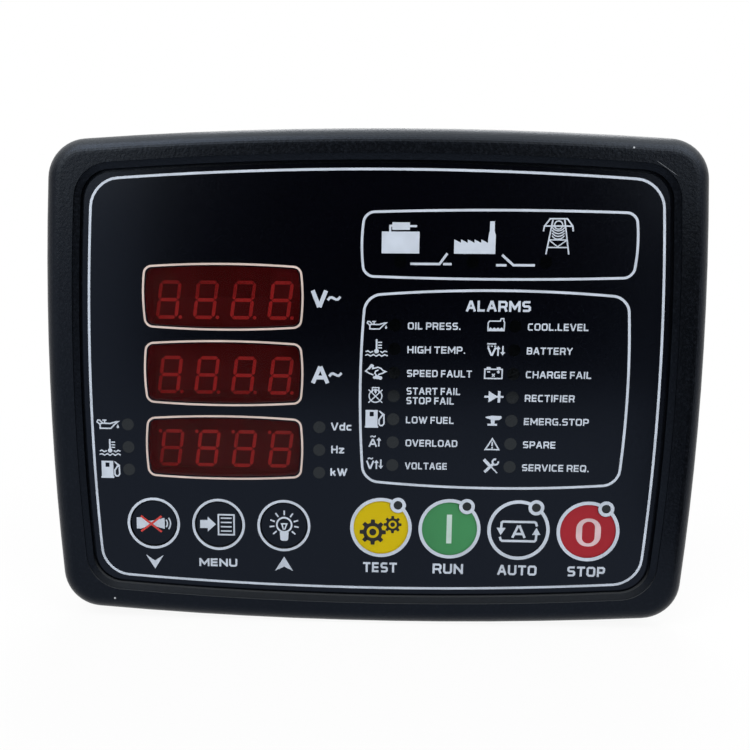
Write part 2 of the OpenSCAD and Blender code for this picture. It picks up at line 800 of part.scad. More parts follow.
module board_pillars() {
    color("#c9a94e") on_panel() for (at = pillar_places)
        difference() {
            union() {
                translate([at.x, at.y, main_front])
                    cylinder(d = pillar_w / cos(30), h = board_space, $fn = 6);
                rod(at, stud_d, board_back - past / 2, board_front + stud_l);
            }
            rod(at, stud_d + 2 * screw_gap, main_front - past, main_front + screw_l - board_t + past);
        }
}

// Round-headed screw driven towards the viewer, with a cross slot
module screw(at, seat, l) {
    slot = screw_head_d / 5;
    difference() {
        union() {
            rod(at, screw_head_d, seat - screw_head_h, seat);
            rod(at, stud_d, seat - past / 2, seat + l);
        }
        for (a = [0, 90]) translate([at.x, at.y, 0]) rotate([0, 0, a])
            block([0, 0], 3 * slot, slot, seat - screw_head_h - past, seat - screw_head_h / 2);
    }
}

module board_screws() {
    color("#b8bcc0") on_panel() for (at = pillar_places) screw(at, main_back, screw_l);
}

// Plug-in link between the two boards, below the displays
link_at = [window_x, stretch * link_z];
link_split = board_back - link_header_h;

module link_header() {
    color("#1a1a1a") on_panel() block(link_at, link_w, link_d, link_split, board_back);
}

module link_socket() {
    color("#262626") on_panel() block(link_at, link_w, link_d, main_front, link_split);
}

module processor_chip() {
    color("#202020") on_panel() block([relay_w, 0], chip_w, chip_w, board_back - chip_t, board_back);
}

// Inner parts stand in columns on the main board, from the right to the left
relay_x = board_w / 2 - relay_w / 2 - part_gap;
transformer_x = relay_x - 2.5 * (relay_w + part_gap) - transformer_w / 2;
can_x = transformer_x - (transformer_w + can_d) / 2 - 3 * part_gap;
inductor_x = can_x - can_d / 2 - ring_r - winding_r - 3 * part_gap;

module relays() {
    color("#2b4f86") on_panel() for (i = [0:2], side = [-1, 1])
        block([relay_x - i * (relay_w + part_gap), side * (relay_h + part_gap) / 2],
            relay_w, relay_h, main_back - relay_rise, main_back);
}

module current_transformers() {
    color("#33363a") on_panel() for (i = [-1:1])
        block([transformer_x, i * (transformer_w + part_gap)],
            transformer_w, transformer_w, main_back - transformer_rise, main_back);
}

module capacitors() {
    color("#2d3340") on_panel() for (i = [-1:1])
        rod([can_x, i * (can_d + part_gap)], can_d, main_back - can_rise, main_back);
}

module power_inductor() {
    color("#8a5a2b") on_panel() translate([inductor_x, 0, main_back - winding_r])
        rotate_extrude() translate([ring_r, 0]) circle(r = winding_r);
}

// Sideways places of a terminal row's ways
function way_places(row) = [for (i = [0:row[1] - 1]) row[0] + (i - (row[1] - 1) / 2) * row[2]];

// Shroud that takes one terminal plug
module header(row) {
    at = [row[0], row[3] * row_z];
    w = row_width(row);
    color("#2f7a46") on_panel() difference() {
        block(at, w, header_d, header_back, main_back);
        block(at, w - 2 * header_wall, header_d - 2 * header_wall,
            header_back - past, main_back - header_floor);
        for (x = way_places(row)) block([x, at.y], pin_w, pin_w, header_back - past, main_back + past);
    }
}

module mains_header() header(mains_row);
module generator_header() header(generator_row);
module contactor_header() header(contactor_row);
module current_header() header(current_row);
module control_header() header(control_row);
module supply_header() header(supply_row);

// Length of a terminal pin inside its header's shroud
pin_out = 6;

module terminal_pins() {
    color("#c8b070") on_panel() for (row = terminal_rows, x = way_places(row))
        block([x, row[3] * row_z], pin_w, pin_w, main_back - header_floor - pin_out, main_back);
}

// Pluggable terminal block: nose in the header, wire entries at the side, screws at the back
module plug(row) {
    at = [row[0], row[3] * row_z];
    w = row[1] * row[2];
    nose = main_back - header_floor - plug_gap;
    color("#3d9a5b") on_panel() difference() {
        union() {
            block(at, w - 2 * plug_gap, header_d - 2 * (header_wall + plug_gap), header_back - past, nose);
            block(at, w + 2 * header_wall, plug_d, plug_back, header_back);
        }
        for (x = way_places(row)) {
            block([x, at.y], pin_w + 2 * plug_gap, pin_w + 2 * plug_gap,
                main_back - header_floor - pin_out - plug_gap, nose + past);
            block([x, at.y + row[3] * plug_d / 2], wire_w, plug_d,
                wire_level - wire_w / 2, wire_level + wire_w / 2);
            rod([x, at.y], terminal_screw_d + 2 * screw_gap, plug_back - past, wire_level);
        }
    }
}

module mains_plug() plug(mains_row);
module generator_plug() plug(generator_row);
module contactor_plug() plug(contactor_row);
module current_plug() plug(current_row);
module control_plug() plug(control_row);
module supply_plug() plug(supply_row);

module terminal_screws() {
    sunk = 0.5;
    color("#c4c8cc") on_panel() for (row = terminal_rows, x = way_places(row))
        difference() {
            rod([x, row[3] * row_z], terminal_screw_d, plug_back + sunk, wire_level - wire_w / 4);
            block([x, row[3] * row_z], terminal_screw_d + past, terminal_screw_d / 5,
                plug_back, plug_back + 2 * sunk);
        }
}

module cover_shell() {
    in_w = skirt_w - 2 * cover_wall;
    in_h = body_h - 2 * cover_wall;
    tongue_in = fit_gap + tongue_t;
    difference() {
        union() {
            slab(rounded_rect(skirt_w, body_h, skirt_r), ledge_back, -skirt_depth);
            slab(rounded_rect(skirt_w, block_h, skirt_r), -body_depth, ledge_back + past);
            slab(rounded_rect(inner_w - 2 * fit_gap, inner_h - 2 * fit_gap, skirt_r),
                -skirt_depth - past, -skirt_depth + tongue_l);
        }
        slab(rounded_rect(inner_w - 2 * tongue_in, inner_h - 2 * tongue_in, skirt_r),
            -skirt_depth - past, -skirt_depth + tongue_l + past);
        slab(rounded_rect(in_w, in_h, skirt_r), ledge_back + cover_wall, -skirt_depth - past);
        slab(rounded_rect(in_w, block_h - 2 * cover_wall, skirt_r), -body_depth + cover_wall, -skirt_depth);
        for (at = boss_places) rod(at, 2 * (boss_r + fit_gap), -skirt_depth, -skirt_depth + tongue_l + past);
    }
}

module rear_cover() {
    vents = 6;
    color("#2a2c2f") on_panel() difference() {
        union() {
            cover_shell();
            for (at = boss_places) rod(at, 2 * boss_r, ledge_back + past / 2, -skirt_depth);
        }
        for (at = boss_places) rod(at, stud_d + 4 * fit_gap, ledge_back - past, -skirt_depth + past);
        for (row = terminal_rows)
            block([row[0], row[3] * row_z], row_width(row) + 2 * fit_gap, header_d + 2 * fit_gap,
                ledge_back - past, ledge_back + cover_wall + past);
        for (side = [-1, 1], i = [0:vents - 1])
            block([side * (skirt_w / 4 + (i - (vents - 1) / 2) * vent_pitch), 0], vent_w, vent_l,
                -body_depth - past, -body_depth + cover_wall + past);
    }
}

module cover_screws() {
    color("#b8bcc0") on_panel() for (at = boss_places) screw(at, ledge_back, cover_screw_l);
}

module panel_gasket() {
    color("#1b1b1b") on_panel() difference() {
        slab(rounded_rect(groove_w - gasket_gap, groove_h - gasket_gap, skirt_r + gasket_w), 0, gasket_t);
        slab(rounded_rect(skirt_w + 2 * gasket_gap, body_h + 2 * gasket_gap, skirt_r),
            -past, gasket_t + past);
    }
}

// Both edges of a strip of thickness t along a bent line
function strip(line, t) =
    let (
        n = len(line) - 1,
        way = [for (i = [0:n - 1]) (line[i + 1] - line[i]) / norm(line[i + 1] - line[i])],
        side = [for (w = way) [-w.y, w.x]],
        miter = [for (i = [0:n])
            let (a = side[max(i - 1, 0)], b = side[min(i, n - 1)])
            (a + b) / (1 + a * b)]
    )
    concat(
        [for (i = [0:n]) line[i] + miter[i] * t / 2],
        [for (i = [n:-1:0]) line[i] - miter[i] * t / 2]
    );

// Bent leaf spring hooked into the side of the body, which presses the panel against the gasket
module panel_clip() {
    leg = clip_t / 2 + fit_gap;
    leg_end = hook_level - clip_t / 2;
    toe = -clip_toe - clip_t;
    curl = 1.5 * clip_t;
    leaf = strip(
        [[leg, leg_end], [leg, leg_end + clip_leg], [clip_reach, toe], [clip_reach + curl, toe - curl]],
        clip_t
    );
    translate([skirt_w / 2, 0, 0]) {
        rotate([90, 0, 0]) translate([0, 0, -clip_w / 2]) linear_extrude(clip_w) polygon(leaf);
        block([(leg - hook_in) / 2, 0], leg + hook_in, hook_w, leg_end, hook_level + clip_t / 2);
    }
}

module right_clip() {
    color("#a9adb1") on_panel() panel_clip();
}

module left_clip() {
    color("#a9adb1") on_panel() mirror([1, 0, 0]) panel_clip();
}

front_bezel();
front_overlay();
volts_filter();
amps_filter();
readout_filter();
mute_key();
menu_key();
lamp_key();
test_key();
run_key();
auto_key();
stop_key();
mute_plunger();
menu_plunger();
lamp_plunger();
test_plunger();
run_plunger();
auto_plunger();
stop_plunger();
key_switches();
volts_display();
amps_display();
readout_display();
display_segments();
indicator_lamps();
display_board();
board_pillars();
board_screws();
main_board();
link_header();
link_socket();
processor_chip();
relays();
current_transformers();
capacitors();
power_inductor();
mains_header();
generator_header();
contactor_header();
current_header();
control_header();
supply_header();
mains_plug();
generator_plug();
contactor_plug();
current_plug();
control_plug();
supply_plug();
terminal_pins();
terminal_screws();
rear_cover();
cover_screws();
panel_gasket();
left_clip();
right_clip();
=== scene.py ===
# %% [markdown]
# # A generating set controller, finished in Blender
# The solid parts come from the CAD model: the bezel, the front film with its windows, the keys, the
# boards and the terminals. The model leaves out what is only ink or surface. This lesson prints the film,
# letters the keys, gives each part its finish, and photographs the unit on a white table.

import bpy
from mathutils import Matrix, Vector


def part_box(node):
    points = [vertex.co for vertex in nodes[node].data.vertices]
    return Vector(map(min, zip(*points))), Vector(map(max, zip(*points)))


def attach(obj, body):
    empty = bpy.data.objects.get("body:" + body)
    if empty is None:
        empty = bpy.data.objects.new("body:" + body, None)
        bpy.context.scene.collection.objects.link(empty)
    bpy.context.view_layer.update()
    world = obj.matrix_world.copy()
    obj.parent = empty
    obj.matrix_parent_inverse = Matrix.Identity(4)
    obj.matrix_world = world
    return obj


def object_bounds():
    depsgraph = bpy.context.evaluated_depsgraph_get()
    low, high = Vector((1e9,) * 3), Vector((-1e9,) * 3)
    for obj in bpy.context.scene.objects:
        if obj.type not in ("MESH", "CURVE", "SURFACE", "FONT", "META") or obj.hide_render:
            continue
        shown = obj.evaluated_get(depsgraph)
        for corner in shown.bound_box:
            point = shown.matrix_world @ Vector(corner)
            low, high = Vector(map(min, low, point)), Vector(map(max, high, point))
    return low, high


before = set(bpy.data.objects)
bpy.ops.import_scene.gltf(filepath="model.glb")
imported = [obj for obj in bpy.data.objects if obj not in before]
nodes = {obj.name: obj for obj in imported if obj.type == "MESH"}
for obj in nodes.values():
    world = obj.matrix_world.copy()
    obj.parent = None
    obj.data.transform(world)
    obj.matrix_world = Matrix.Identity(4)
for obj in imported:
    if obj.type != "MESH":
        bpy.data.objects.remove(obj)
cad_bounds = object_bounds()

# %% [markdown]
# ## Levels
# The film is the face that everything is printed on, and the keys sit a little below it in their
# openings. Both levels are measured on the CAD parts, so the ink always lands on the right surface.
# Everything is drawn in millimetres, x to the right and z up, and turned into metres when a piece is
# finished.

# %% Measure the levels
import itertools
import math

import bmesh
import bpy
from mathutils import Matrix, Vector

MM = 0.001
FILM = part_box("front_overlay")[0].y
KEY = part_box("mute_key")[0].y
HERE = Matrix.Identity(4)
print("film at", round(FILM / MM, 2), "mm, keys at", round(KEY / MM, 2), "mm")

# %% [markdown]
# ## Arithmetic on shader sockets
# Every finish below is a small sum of noises and masks. Written node by node, such a sum is hard to read,
# so one class wraps a socket and lets plus, minus and times make the Math nodes. A second class holds a
# node tree and has the only method that adds nodes: the type, the settings, then what goes into the
# sockets.


# %% A socket that does arithmetic
class Socket:
    """One value in a shader. Python's operators on it add Math nodes."""

    def __init__(self, wiring, out):
        self.wiring = wiring
        self.out = out

    def math(self, operation, first, second):
        return self.wiring.node("Math", {"operation": operation}, {0: first, 1: second})

    def __add__(self, other):
        return self.math("ADD", self, other)

    def __sub__(self, other):
        return self.math("SUBTRACT", self, other)

    def __rsub__(self, other):
        return self.math("SUBTRACT", other, self)

    def __mul__(self, other):
        return self.math("MULTIPLY", self, other)

    __radd__ = __add__
    __rmul__ = __mul__


class Wiring:
    """A node tree with one way to add a node: its type, its settings, then its sockets."""

    def __init__(self, tree):
        self.tree = tree

    def node(self, kind, settings=None, sockets=None, output=0):
        made = self.tree.nodes.new("ShaderNode" + kind)
        for name, value in (settings or {}).items():
            setattr(made, name, value)
        self.join(made, sockets or {})
        return Socket(self, made.outputs[output])

    def join(self, made, sockets):
        for name, value in sockets.items():
            if isinstance(value, Socket):
                self.tree.links.new(value.out, made.inputs[name])
            else:
                made.inputs[name].default_value = value


# %% [markdown]
# A few helpers do most of the work. `paint` turns a colour read off a screen into linear light, `grain`
# is noise with lumps of a known size, `span` stretches part of a value to the range 0 to 1, and `blend`
# mixes two colours. The noise is fixed to Object coordinates, so it stays on a part when the part moves.

# %% Helpers for finishes
MIDDLE = (0.3, 0.7)


def paint(red, green, blue):
    """A screen colour, 0 to 255, as the linear colour that a shader mixes, by the sRGB curve."""
    low_end = 0.04045
    channels = [value / 255 for value in (red, green, blue)]
    linear = [c / 12.92 if c <= low_end else ((c + 0.055) / 1.055) ** 2.4 for c in channels]
    return (*linear, 1.0)


def shade(colour, share):
    """A colour darkened to a share of its light."""
    return (*[share * part for part in colour[:3]], 1.0)


def place_of(wiring):
    return wiring.node("TexCoord", output="Object")


def grain(wiring, size, detail=2.0, stretch=(1, 1, 1)):
    """Noise with lumps of about `size` millimetres, drawn out along an axis where stretch is below 1."""
    where = wiring.node("VectorMath", {"operation": "MULTIPLY"}, {0: place_of(wiring), 1: stretch})
    return wiring.node("TexNoise", {}, {"Vector": where, "Scale": 1 / (size * MM), "Detail": detail})


def span(wiring, value, low, high):
    return wiring.node("MapRange", {"clamp": True}, {"Value": value, "From Min": low, "From Max": high})


def mottled(wiring, size):
    """Slow noise in patches about `size` millimetres across, with the middle of its range stretched."""
    return span(wiring, grain(wiring, size), *MIDDLE)


def uneven(roughness, noise, swing=0.25):
    """A roughness that goes up and down with a noise."""
    return roughness + (noise - 0.5) * swing


def blend(wiring, amount, first, second):
    """A colour between two others. The Mix node keeps its colour sockets at places 6 and 7."""
    return wiring.node("Mix", {"data_type": "RGBA"}, {0: amount, 6: first, 7: second}, output=2)


def bumped(wiring, height, strength, depth):
    return wiring.node("Bump", {}, {"Strength": strength, "Distance": depth * MM, "Height": height})


def begin(name):
    """A new material: the material, its wiring and its Principled shader."""
    material = bpy.data.materials.new(name)
    material.use_nodes = True
    return material, Wiring(material.node_tree), material.node_tree.nodes["Principled BSDF"]


print("half grey on a screen is", round(paint(128, 128, 128)[0], 2), "of white in linear light")

# %% [markdown]
# ## Plastics, films and metals
# A moulding takes the spark-eroded texture of its tool, so a moulded part has fine lumps that break up
# its shine. A film is smoother with a finer tooth. Both are the same recipe with other sizes: two shades
# of one colour mixed by slow noise, a roughness that follows the fine lumps, and those lumps again as a
# bump.

# %% Moulded and printed surfaces
SKY = (0.55, 0.7, 1.0, 1.0)
HAZE = (0.75, 0.85, 0.95, 1.0)
PLAIN = (1.0, 1.0, 1.0, 1.0)


def moulded(name, colour, lump, roughness, relief=0.2, shine=0.5, tint=PLAIN, cloud=25):
    """A textured plastic. `lump` is the size of its texture in millimetres, `relief` how strong it is."""
    material, w, shader = begin(name)
    fine = grain(w, lump)
    tone = blend(w, mottled(w, cloud), shade(paint(*colour), 0.82), paint(*colour))
    bump = bumped(w, fine, relief, lump / 4)
    w.join(shader, {"Base Color": tone, "Roughness": uneven(roughness, fine), "Normal": bump})
    w.join(shader, {"Specular IOR Level": shine, "Specular Tint": tint})
    return material


def metal(name, colour, roughness, stretch=(1, 1, 1)):
    """A plated or drawn metal, with faint streaks along the axis that `stretch` draws out."""
    material, w, shader = begin(name)
    streak = grain(w, 0.5, stretch=stretch)
    tone = blend(w, span(w, streak, *MIDDLE), shade(paint(*colour), 0.75), paint(*colour))
    w.join(shader, {"Base Color": tone, "Roughness": uneven(roughness, streak, 0.3), "Metallic": 1.0})
    return material


finishes = {}
for name, colour, *surface in (
    ("overlay_black", (1, 1, 5), 0.25, 0.22, 0.04, 0.24, SKY),
    ("key_black", (1, 1, 5), 0.25, 0.22, 0.04, 0.24, SKY),
    ("key_yellow", (204, 180, 2), 0.25, 0.4, 0.05, 0.12),
    ("key_green", (62, 134, 85), 0.25, 0.4, 0.05, 0.15),
    ("key_red", (160, 34, 46), 0.25, 0.4, 0.05, 0.15),
    ("switch_black", (38, 38, 38), 0.3, 0.5),
    ("plunger_white", (215, 215, 208), 0.3, 0.5),
    ("display_black", (62, 6, 8), 0.3, 0.6, 0.1, 0.1),
    ("lamp_smoke", (2, 3, 4), 0.4, 0.13, 0.02, 0.44, HAZE),
    ("relay_blue", (42, 80, 134), 0.3, 0.4, 0.1),
    ("potted_grey", (52, 54, 57), 0.6, 0.45),
    ("can_blue", (44, 50, 64), 0.5, 0.3, 0.05),
    ("terminal_green", (60, 154, 90), 0.3, 0.45, 0.15),
):
    finishes[name] = moulded(name, colour, *surface)
for name, colour, *surface in (
    ("pillar_brass", (201, 170, 78), 0.35, (0.1, 1, 1)),
    ("screw_steel", (184, 188, 191), 0.35),
    ("pin_tin", (200, 178, 112), 0.3, (1, 0.1, 1)),
    ("clip_steel", (170, 174, 178), 0.38, (1, 0.06, 1)),
):
    finishes[name] = metal(name, colour, *surface)
print(len(finishes), "finishes so far")

# %% [markdown]
# The eye stays on the bezel, so it gets more: a coarser tooth, a painted highlight, two specks and a
# hair-line scratch where the real one has them. The painted highlight stands in for light from above: it
# lightens faces that look up and stand out of the cabinet, so its mask is the upward part of the normal
# times a step at the front of the panel. A speck is a small ball around a place and the scratch a thin
# box around a line, each turned into a mask by the distance from it.

# %% The bezel
SPECKS = (((74.5, -10.85, 70.4), 0.32), ((-80.4, -11.0, -69.2), 0.4))
SCRATCH_FROM = Vector((80.8, -11.0, 66.9))
SCRATCH_TO = Vector((87.5, -11.0, 62.4))
SCRATCH_HALF = 0.07
SCRATCH_STRENGTH = 0.35
WORN = paint(190, 194, 200)
SPECKLE = paint(16, 19, 25)
# The pale grey of a painted highlight on faces that look up, and the upward tilts over which it comes in.
PAINTED_HIGHLIGHT = paint(63, 66, 69)
HIGHLIGHT_TILT = (0.1, 0.68)
OUTSIDE = (0, -2 * MM)


def vector_value(wiring, operation, first, second):
    """The one number that a vector operation gives."""
    return wiring.node("VectorMath", {"operation": operation}, {0: first, 1: second}, output="Value")


def near(wiring, centre, radius):
    """1 at a place on the part, falling to 0 at `radius` millimetres from it."""
    away = vector_value(wiring, "DISTANCE", place_of(wiring), Vector(centre) * MM)
    return span(wiring, away, radius * MM, 0.5 * radius * MM)


def along(wiring, start, end, half):
    """1 on the line between two places, falling to 0 at `half` millimetres beside it."""
    run = (end - start).normalized()
    offset = wiring.node("VectorMath", {"operation": "SUBTRACT"}, {0: place_of(wiring), 1: start * MM})
    reach = vector_value(wiring, "DOT_PRODUCT", offset, run)
    side = vector_value(wiring, "DOT_PRODUCT", offset, run.cross(Vector((0, 1, 0))))
    length = (end - start).length * MM
    inside = span(wiring, reach, 0, 0.2 * length) * span(wiring, reach, length, 0.8 * length)
    beside = wiring.node("Math", {"operation": "ABSOLUTE"}, {0: side})
    return inside * span(wiring, beside, half * MM, 0.3 * half * MM)


def bezel_finish():
    material, w, shader = begin("bezel_black")
    fine = grain(w, 0.8, detail=3)
    tone = blend(w, mottled(w, 18), paint(3, 4, 7), paint(5, 6, 9))
    tone = blend(w, span(w, fine, 0.5, 0.75) * 0.6, tone, SPECKLE)
    upward = w.node("SeparateXYZ", {}, {0: w.node("TexCoord", output="Normal")}, output="Z")
    forward = w.node("SeparateXYZ", {}, {0: place_of(w)}, output="Y")
    # Painted highlight: faces that look up at the front of the panel are lightened, as light from above
    # would light them.
    tone = blend(w, span(w, upward, *HIGHLIGHT_TILT) * span(w, forward, *OUTSIDE), tone, PAINTED_HIGHLIGHT)
    specks = near(w, *SPECKS[0]) + near(w, *SPECKS[1])
    worn = specks + along(w, SCRATCH_FROM, SCRATCH_TO, SCRATCH_HALF) * SCRATCH_STRENGTH
    w.join(shader, {"Base Color": blend(w, worn, tone, WORN), "Normal": bumped(w, fine, 0.6, 0.12)})
    w.join(shader, {"Roughness": uneven(0.34, fine), "Specular IOR Level": 0.18, "Specular Tint": SKY})
    return material


finishes["bezel_black"] = bezel_finish()
print("bezel finished, scratch", round((SCRATCH_TO - SCRATCH_FROM).length, 1), "mm long")

# %% [markdown]
# The windows are clear red film. Light passes twice through the filter, going in and coming out, which is
# why unlit segments show only as a dull red. Alpha lets the segments behind through and keeps the gloss
# of the front. The segments themselves are a diffusing resin in a dark case.


# %% Red windows and what is behind them
def filter_finish():
    material, w, shader = begin("filter_red")
    slow = mottled(w, 12)
    tone = blend(w, slow, paint(66, 0, 2), paint(76, 0, 4))
    w.join(shader, {"Base Color": tone, "Alpha": 0.36 + slow * 0.04, "Roughness": 0.2 + slow * 0.05})
    w.join(shader, {"Specular IOR Level": 0.32})
    return material


def segment_finish():
    material, w, shader = begin("segment_red")
    slow = mottled(w, 3)
    tone = blend(w, slow, paint(208, 22, 22), paint(228, 26, 26))
    w.join(shader, {"Base Color": tone, "Roughness": 0.4 + slow * 0.1})
    return material


finishes["filter_red"] = filter_finish()
finishes["segment_red"] = segment_finish()
print("windows and segments finished")

# %% [markdown]
# Three finishes are seen only when the unit is taken apart, and each has its own pattern. Solder mask
# lies over copper tracks that show as slightly paler bands. Closed-cell foam is all small cells. A
# winding is a stack of wire turns, so its colour runs in bands.


# %% Boards, foam and windings
def board_finish():
    material, w, shader = begin("board_green")
    tracks = w.node("TexBrick", {"offset": 0.35},
                    {"Vector": place_of(w), "Scale": 160.0, "Mortar Size": 0.012}, output="Fac")
    slow = span(w, grain(w, 9), 0.4, 0.6)
    tone = blend(w, slow, paint(18, 84, 48), paint(22, 92, 54))
    tone = blend(w, tracks * 0.5, tone, paint(52, 132, 84))
    w.join(shader, {"Base Color": tone, "Roughness": 0.3 + slow * 0.1})
    return material


def foam_finish():
    material, w, shader = begin("gasket_foam")
    cells = w.node("TexVoronoi", {}, {"Vector": place_of(w), "Scale": 1 / (0.8 * MM)})
    tone = blend(w, cells, paint(34, 34, 34), paint(22, 22, 22))
    bump = bumped(w, cells, 0.4, 0.2)
    w.join(shader, {"Base Color": tone, "Roughness": 0.8 + cells * 0.1, "Normal": bump})
    return material


def winding_finish():
    material, w, shader = begin("winding_copper")
    turns = w.node("TexWave", {"bands_direction": "Y"},
                   {"Vector": place_of(w), "Scale": 1 / (3 * MM)}, output="Fac")
    tone = blend(w, turns, paint(96, 56, 24), paint(150, 92, 42))
    bump = bumped(w, turns, 0.6, 0.2)
    w.join(shader, {"Base Color": tone, "Roughness": 0.35 + turns * 0.1, "Normal": bump, "Metallic": 0.5})
    return material


finishes["board_green"] = board_finish()
finishes["gasket_foam"] = foam_finish()
finishes["winding_copper"] = winding_finish()
print(len(finishes), "finishes in all")

# %% [markdown]
# Each CAD node came in with a plain colour under the name of its slot in the record. Swapping that colour
# for the finish of the same name dresses the whole frame in one loop, and leaves every mesh as it was.


# %% Dress the CAD nodes
def slot_of(part):
    """The name of a part's slot, without the number that Blender adds to a name used twice."""
    return part.data.materials[0].name.split(".")[0]


for part in nodes.values():
    part.data.materials[0] = finishes[slot_of(part)]
print("dressed", len(nodes), "nodes with", len(finishes), "finishes")

# %% [markdown]
# ## Ink
# Everything printed here is screen-printed ink: a thin, slightly uneven layer. Its colour is mottled by a
# slow noise, and a fine noise breaks up the shine. A cool white is used for the lines and words, a warm
# white for the window frames, black on the yellow key and red for the cross on the horn. White ink is
# thin, so on the red and the green key a little of the colour under it shows through.

# %% The inks
inks = {}
for name, colour in (
    ("white", (193, 203, 217)),
    ("cream", (208, 190, 182)),
    ("white_on_red", (214, 186, 192)),
    ("white_on_green", (190, 212, 206)),
    ("black", (20, 20, 22)),
    ("red", (200, 58, 54)),
):
    inks[name] = moulded("ink_" + name, colour, 0.3, 0.5, relief=0.05, shine=0.3, cloud=8)
print(len(inks), "inks")

# %% [markdown]
# A print is drawn on a sheet, one bmesh that collects little solids. Flat shapes start as faces in the
# plane of the panel and are extruded by the thickness of the ink. Each solid is moved to its place and
# laid on the sheet, and the finished sheet is sunk a hair into the surface that carries it, so that no
# gap shows. Where two solids cross, their fronts must not lie in one plane, or dark specks show. So each
# solid stands a few thousandths of a millimetre above the one before, over and over through a few levels.

# %% Sheets and flat shapes
INK = 0.05
SUNK = 0.02
STEP = 0.003
ALL_LEVELS = 15
STROKE_LEVELS = 3
LEVELS = itertools.cycle(range(0, ALL_LEVELS, STROKE_LEVELS))
UPRIGHT = Matrix.Rotation(math.pi / 2, 4, "X")


def spot(x, z, size=1.0):
    """A place on the panel, and a size to draw at."""
    return Matrix.Translation((x, 0, z)) @ Matrix.Scale(size, 4)


def lay(sheet, part, place=HERE):
    """Adds one finished solid to the sheet, moved to its place and a step above the last one."""
    bmesh.ops.recalc_face_normals(part, faces=part.faces[:])
    bmesh.ops.transform(part, matrix=place, verts=part.verts[:])
    bmesh.ops.translate(part, verts=part.verts[:], vec=(0, -STEP * next(LEVELS), 0))
    mesh = bpy.data.meshes.new("laid")
    part.to_mesh(mesh)
    part.free()
    sheet.from_mesh(mesh)
    bpy.data.meshes.remove(mesh)


def pull(part, extruded):
    """Moves what an extrusion made towards the viewer, by the thickness of the ink."""
    front = [item for item in extruded["geom"] if isinstance(item, bmesh.types.BMVert)]
    bmesh.ops.translate(part, verts=front, vec=(0, -INK, 0))


def thicken(part):
    pull(part, bmesh.ops.extrude_face_region(part, geom=part.faces[:]))


def plate(sheet, points, place=HERE):
    part = bmesh.new()
    part.faces.new([part.verts.new((x, 0, z)) for x, z in points])
    thicken(part)
    lay(sheet, part, place)


def block(sheet, low, high, place=HERE):
    plate(sheet, (low, (high[0], low[1]), high, (low[0], high[1])), place)


def disc(sheet, centre, radius, place=HERE):
    part = bmesh.new()
    bmesh.ops.create_circle(part, cap_ends=True, segments=32, radius=radius, matrix=spot(*centre) @ UPRIGHT)
    thicken(part)
    lay(sheet, part, place)


def add_object(name, data):
    made = bpy.data.objects.new(name, data)
    bpy.context.scene.collection.objects.link(made)
    return made


def to_object(name, shape):
    """Turns a bmesh into an object in the scene."""
    mesh = bpy.data.meshes.new(name)
    shape.to_mesh(mesh)
    shape.free()
    return add_object(name, mesh)


def piece(name, sheet, level=FILM, body="housing", ink="white"):
    """Turns a sheet into an object in metres, sunk a little into its surface, that rides on a body."""
    bmesh.ops.translate(sheet, verts=sheet.verts[:], vec=(0, SUNK, 0))
    bmesh.ops.scale(sheet, verts=sheet.verts[:], vec=(MM, MM, MM))
    bmesh.ops.translate(sheet, verts=sheet.verts[:], vec=(0, level, 0))
    made = to_object(name, sheet)
    made.data.materials.append(inks[ink])
    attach(made, body)
    print(name, len(made.data.polygons), "faces")
    return made


print("ink", INK, "mm thick, in levels", STEP, "mm apart")

# %% [markdown]
# A ring or an arc is a small upright rectangle turned about the middle with spin, as a lathe would make
# it. Where the turn isn't a full one, the two open ends are filled.

# %% Rings and arcs
FULL_TURN = 360
FACET = 6


def band(sheet, centre, inner, outer, start=0.0, sweep=FULL_TURN, place=HERE):
    """A ring, or an arc of `sweep` degrees from `start`. Angles count from the right, against the clock."""
    part = bmesh.new()
    section = ((inner, 0), (outer, 0), (outer, -INK), (inner, -INK))
    corners = [part.verts.new((x, y, 0)) for x, y in section]
    edges = [part.edges.new((corners[i], corners[i - 1])) for i in range(len(corners))]
    turn = Matrix.Rotation(math.radians(-start), 4, "Y")
    bmesh.ops.transform(part, matrix=turn, verts=part.verts[:])
    whole = sweep >= FULL_TURN
    bmesh.ops.spin(part, geom=corners + edges, axis=(0, -1, 0), cent=(0, 0, 0),
                   steps=max(6, round(sweep / FACET)), angle=math.radians(sweep), use_merge=whole)
    if not whole:
        ends = [edge for edge in part.edges if edge.is_boundary]
        bmesh.ops.holes_fill(part, edges=ends, sides=4)
    lay(sheet, part, place @ spot(*centre))


# %% [markdown]
# The frame lines of this panel are not straight: each side bows outwards a little. Such a frame starts as
# four corners. Bevel rounds the corners, subdivide gives the sides points to bend at, and a barrel warp
# pushes the middle of each side out. Inset leaves the line, and the face inside it is deleted.

# %% Bowed frames
FRAMES = (
    {"middle": (0.14, 0), "size": (173.7, 129.6), "bow": (2.56, 3.27), "corner": 8.0, "line": 0.74},
    {"middle": (37.3, 42.64), "size": (81.55, 20.9), "bow": (0.9, 0.7), "corner": 3.0, "line": 0.74},
    {"middle": (37.1, -1.1), "size": (81.15, 61.4), "bow": (1.3, 1.8), "corner": 4.7, "line": 0.76},
)
WINDOW_FRAME = {"size": (49.1, 20.4), "bow": (0.7, 0.9), "corner": 2.2, "line": 0.62}


def rounded(part, half, corner):
    """Adds a flat rectangle with rounded corners around the middle."""
    signs = ((-1, -1), (1, -1), (1, 1), (-1, 1))
    corners = [part.verts.new((half[0] * x, 0, half[1] * z)) for x, z in signs]
    part.faces.new(corners)
    bmesh.ops.bevel(part, geom=corners, offset=corner, affect="VERTICES", segments=8, profile=0.5,
                    material=-1)


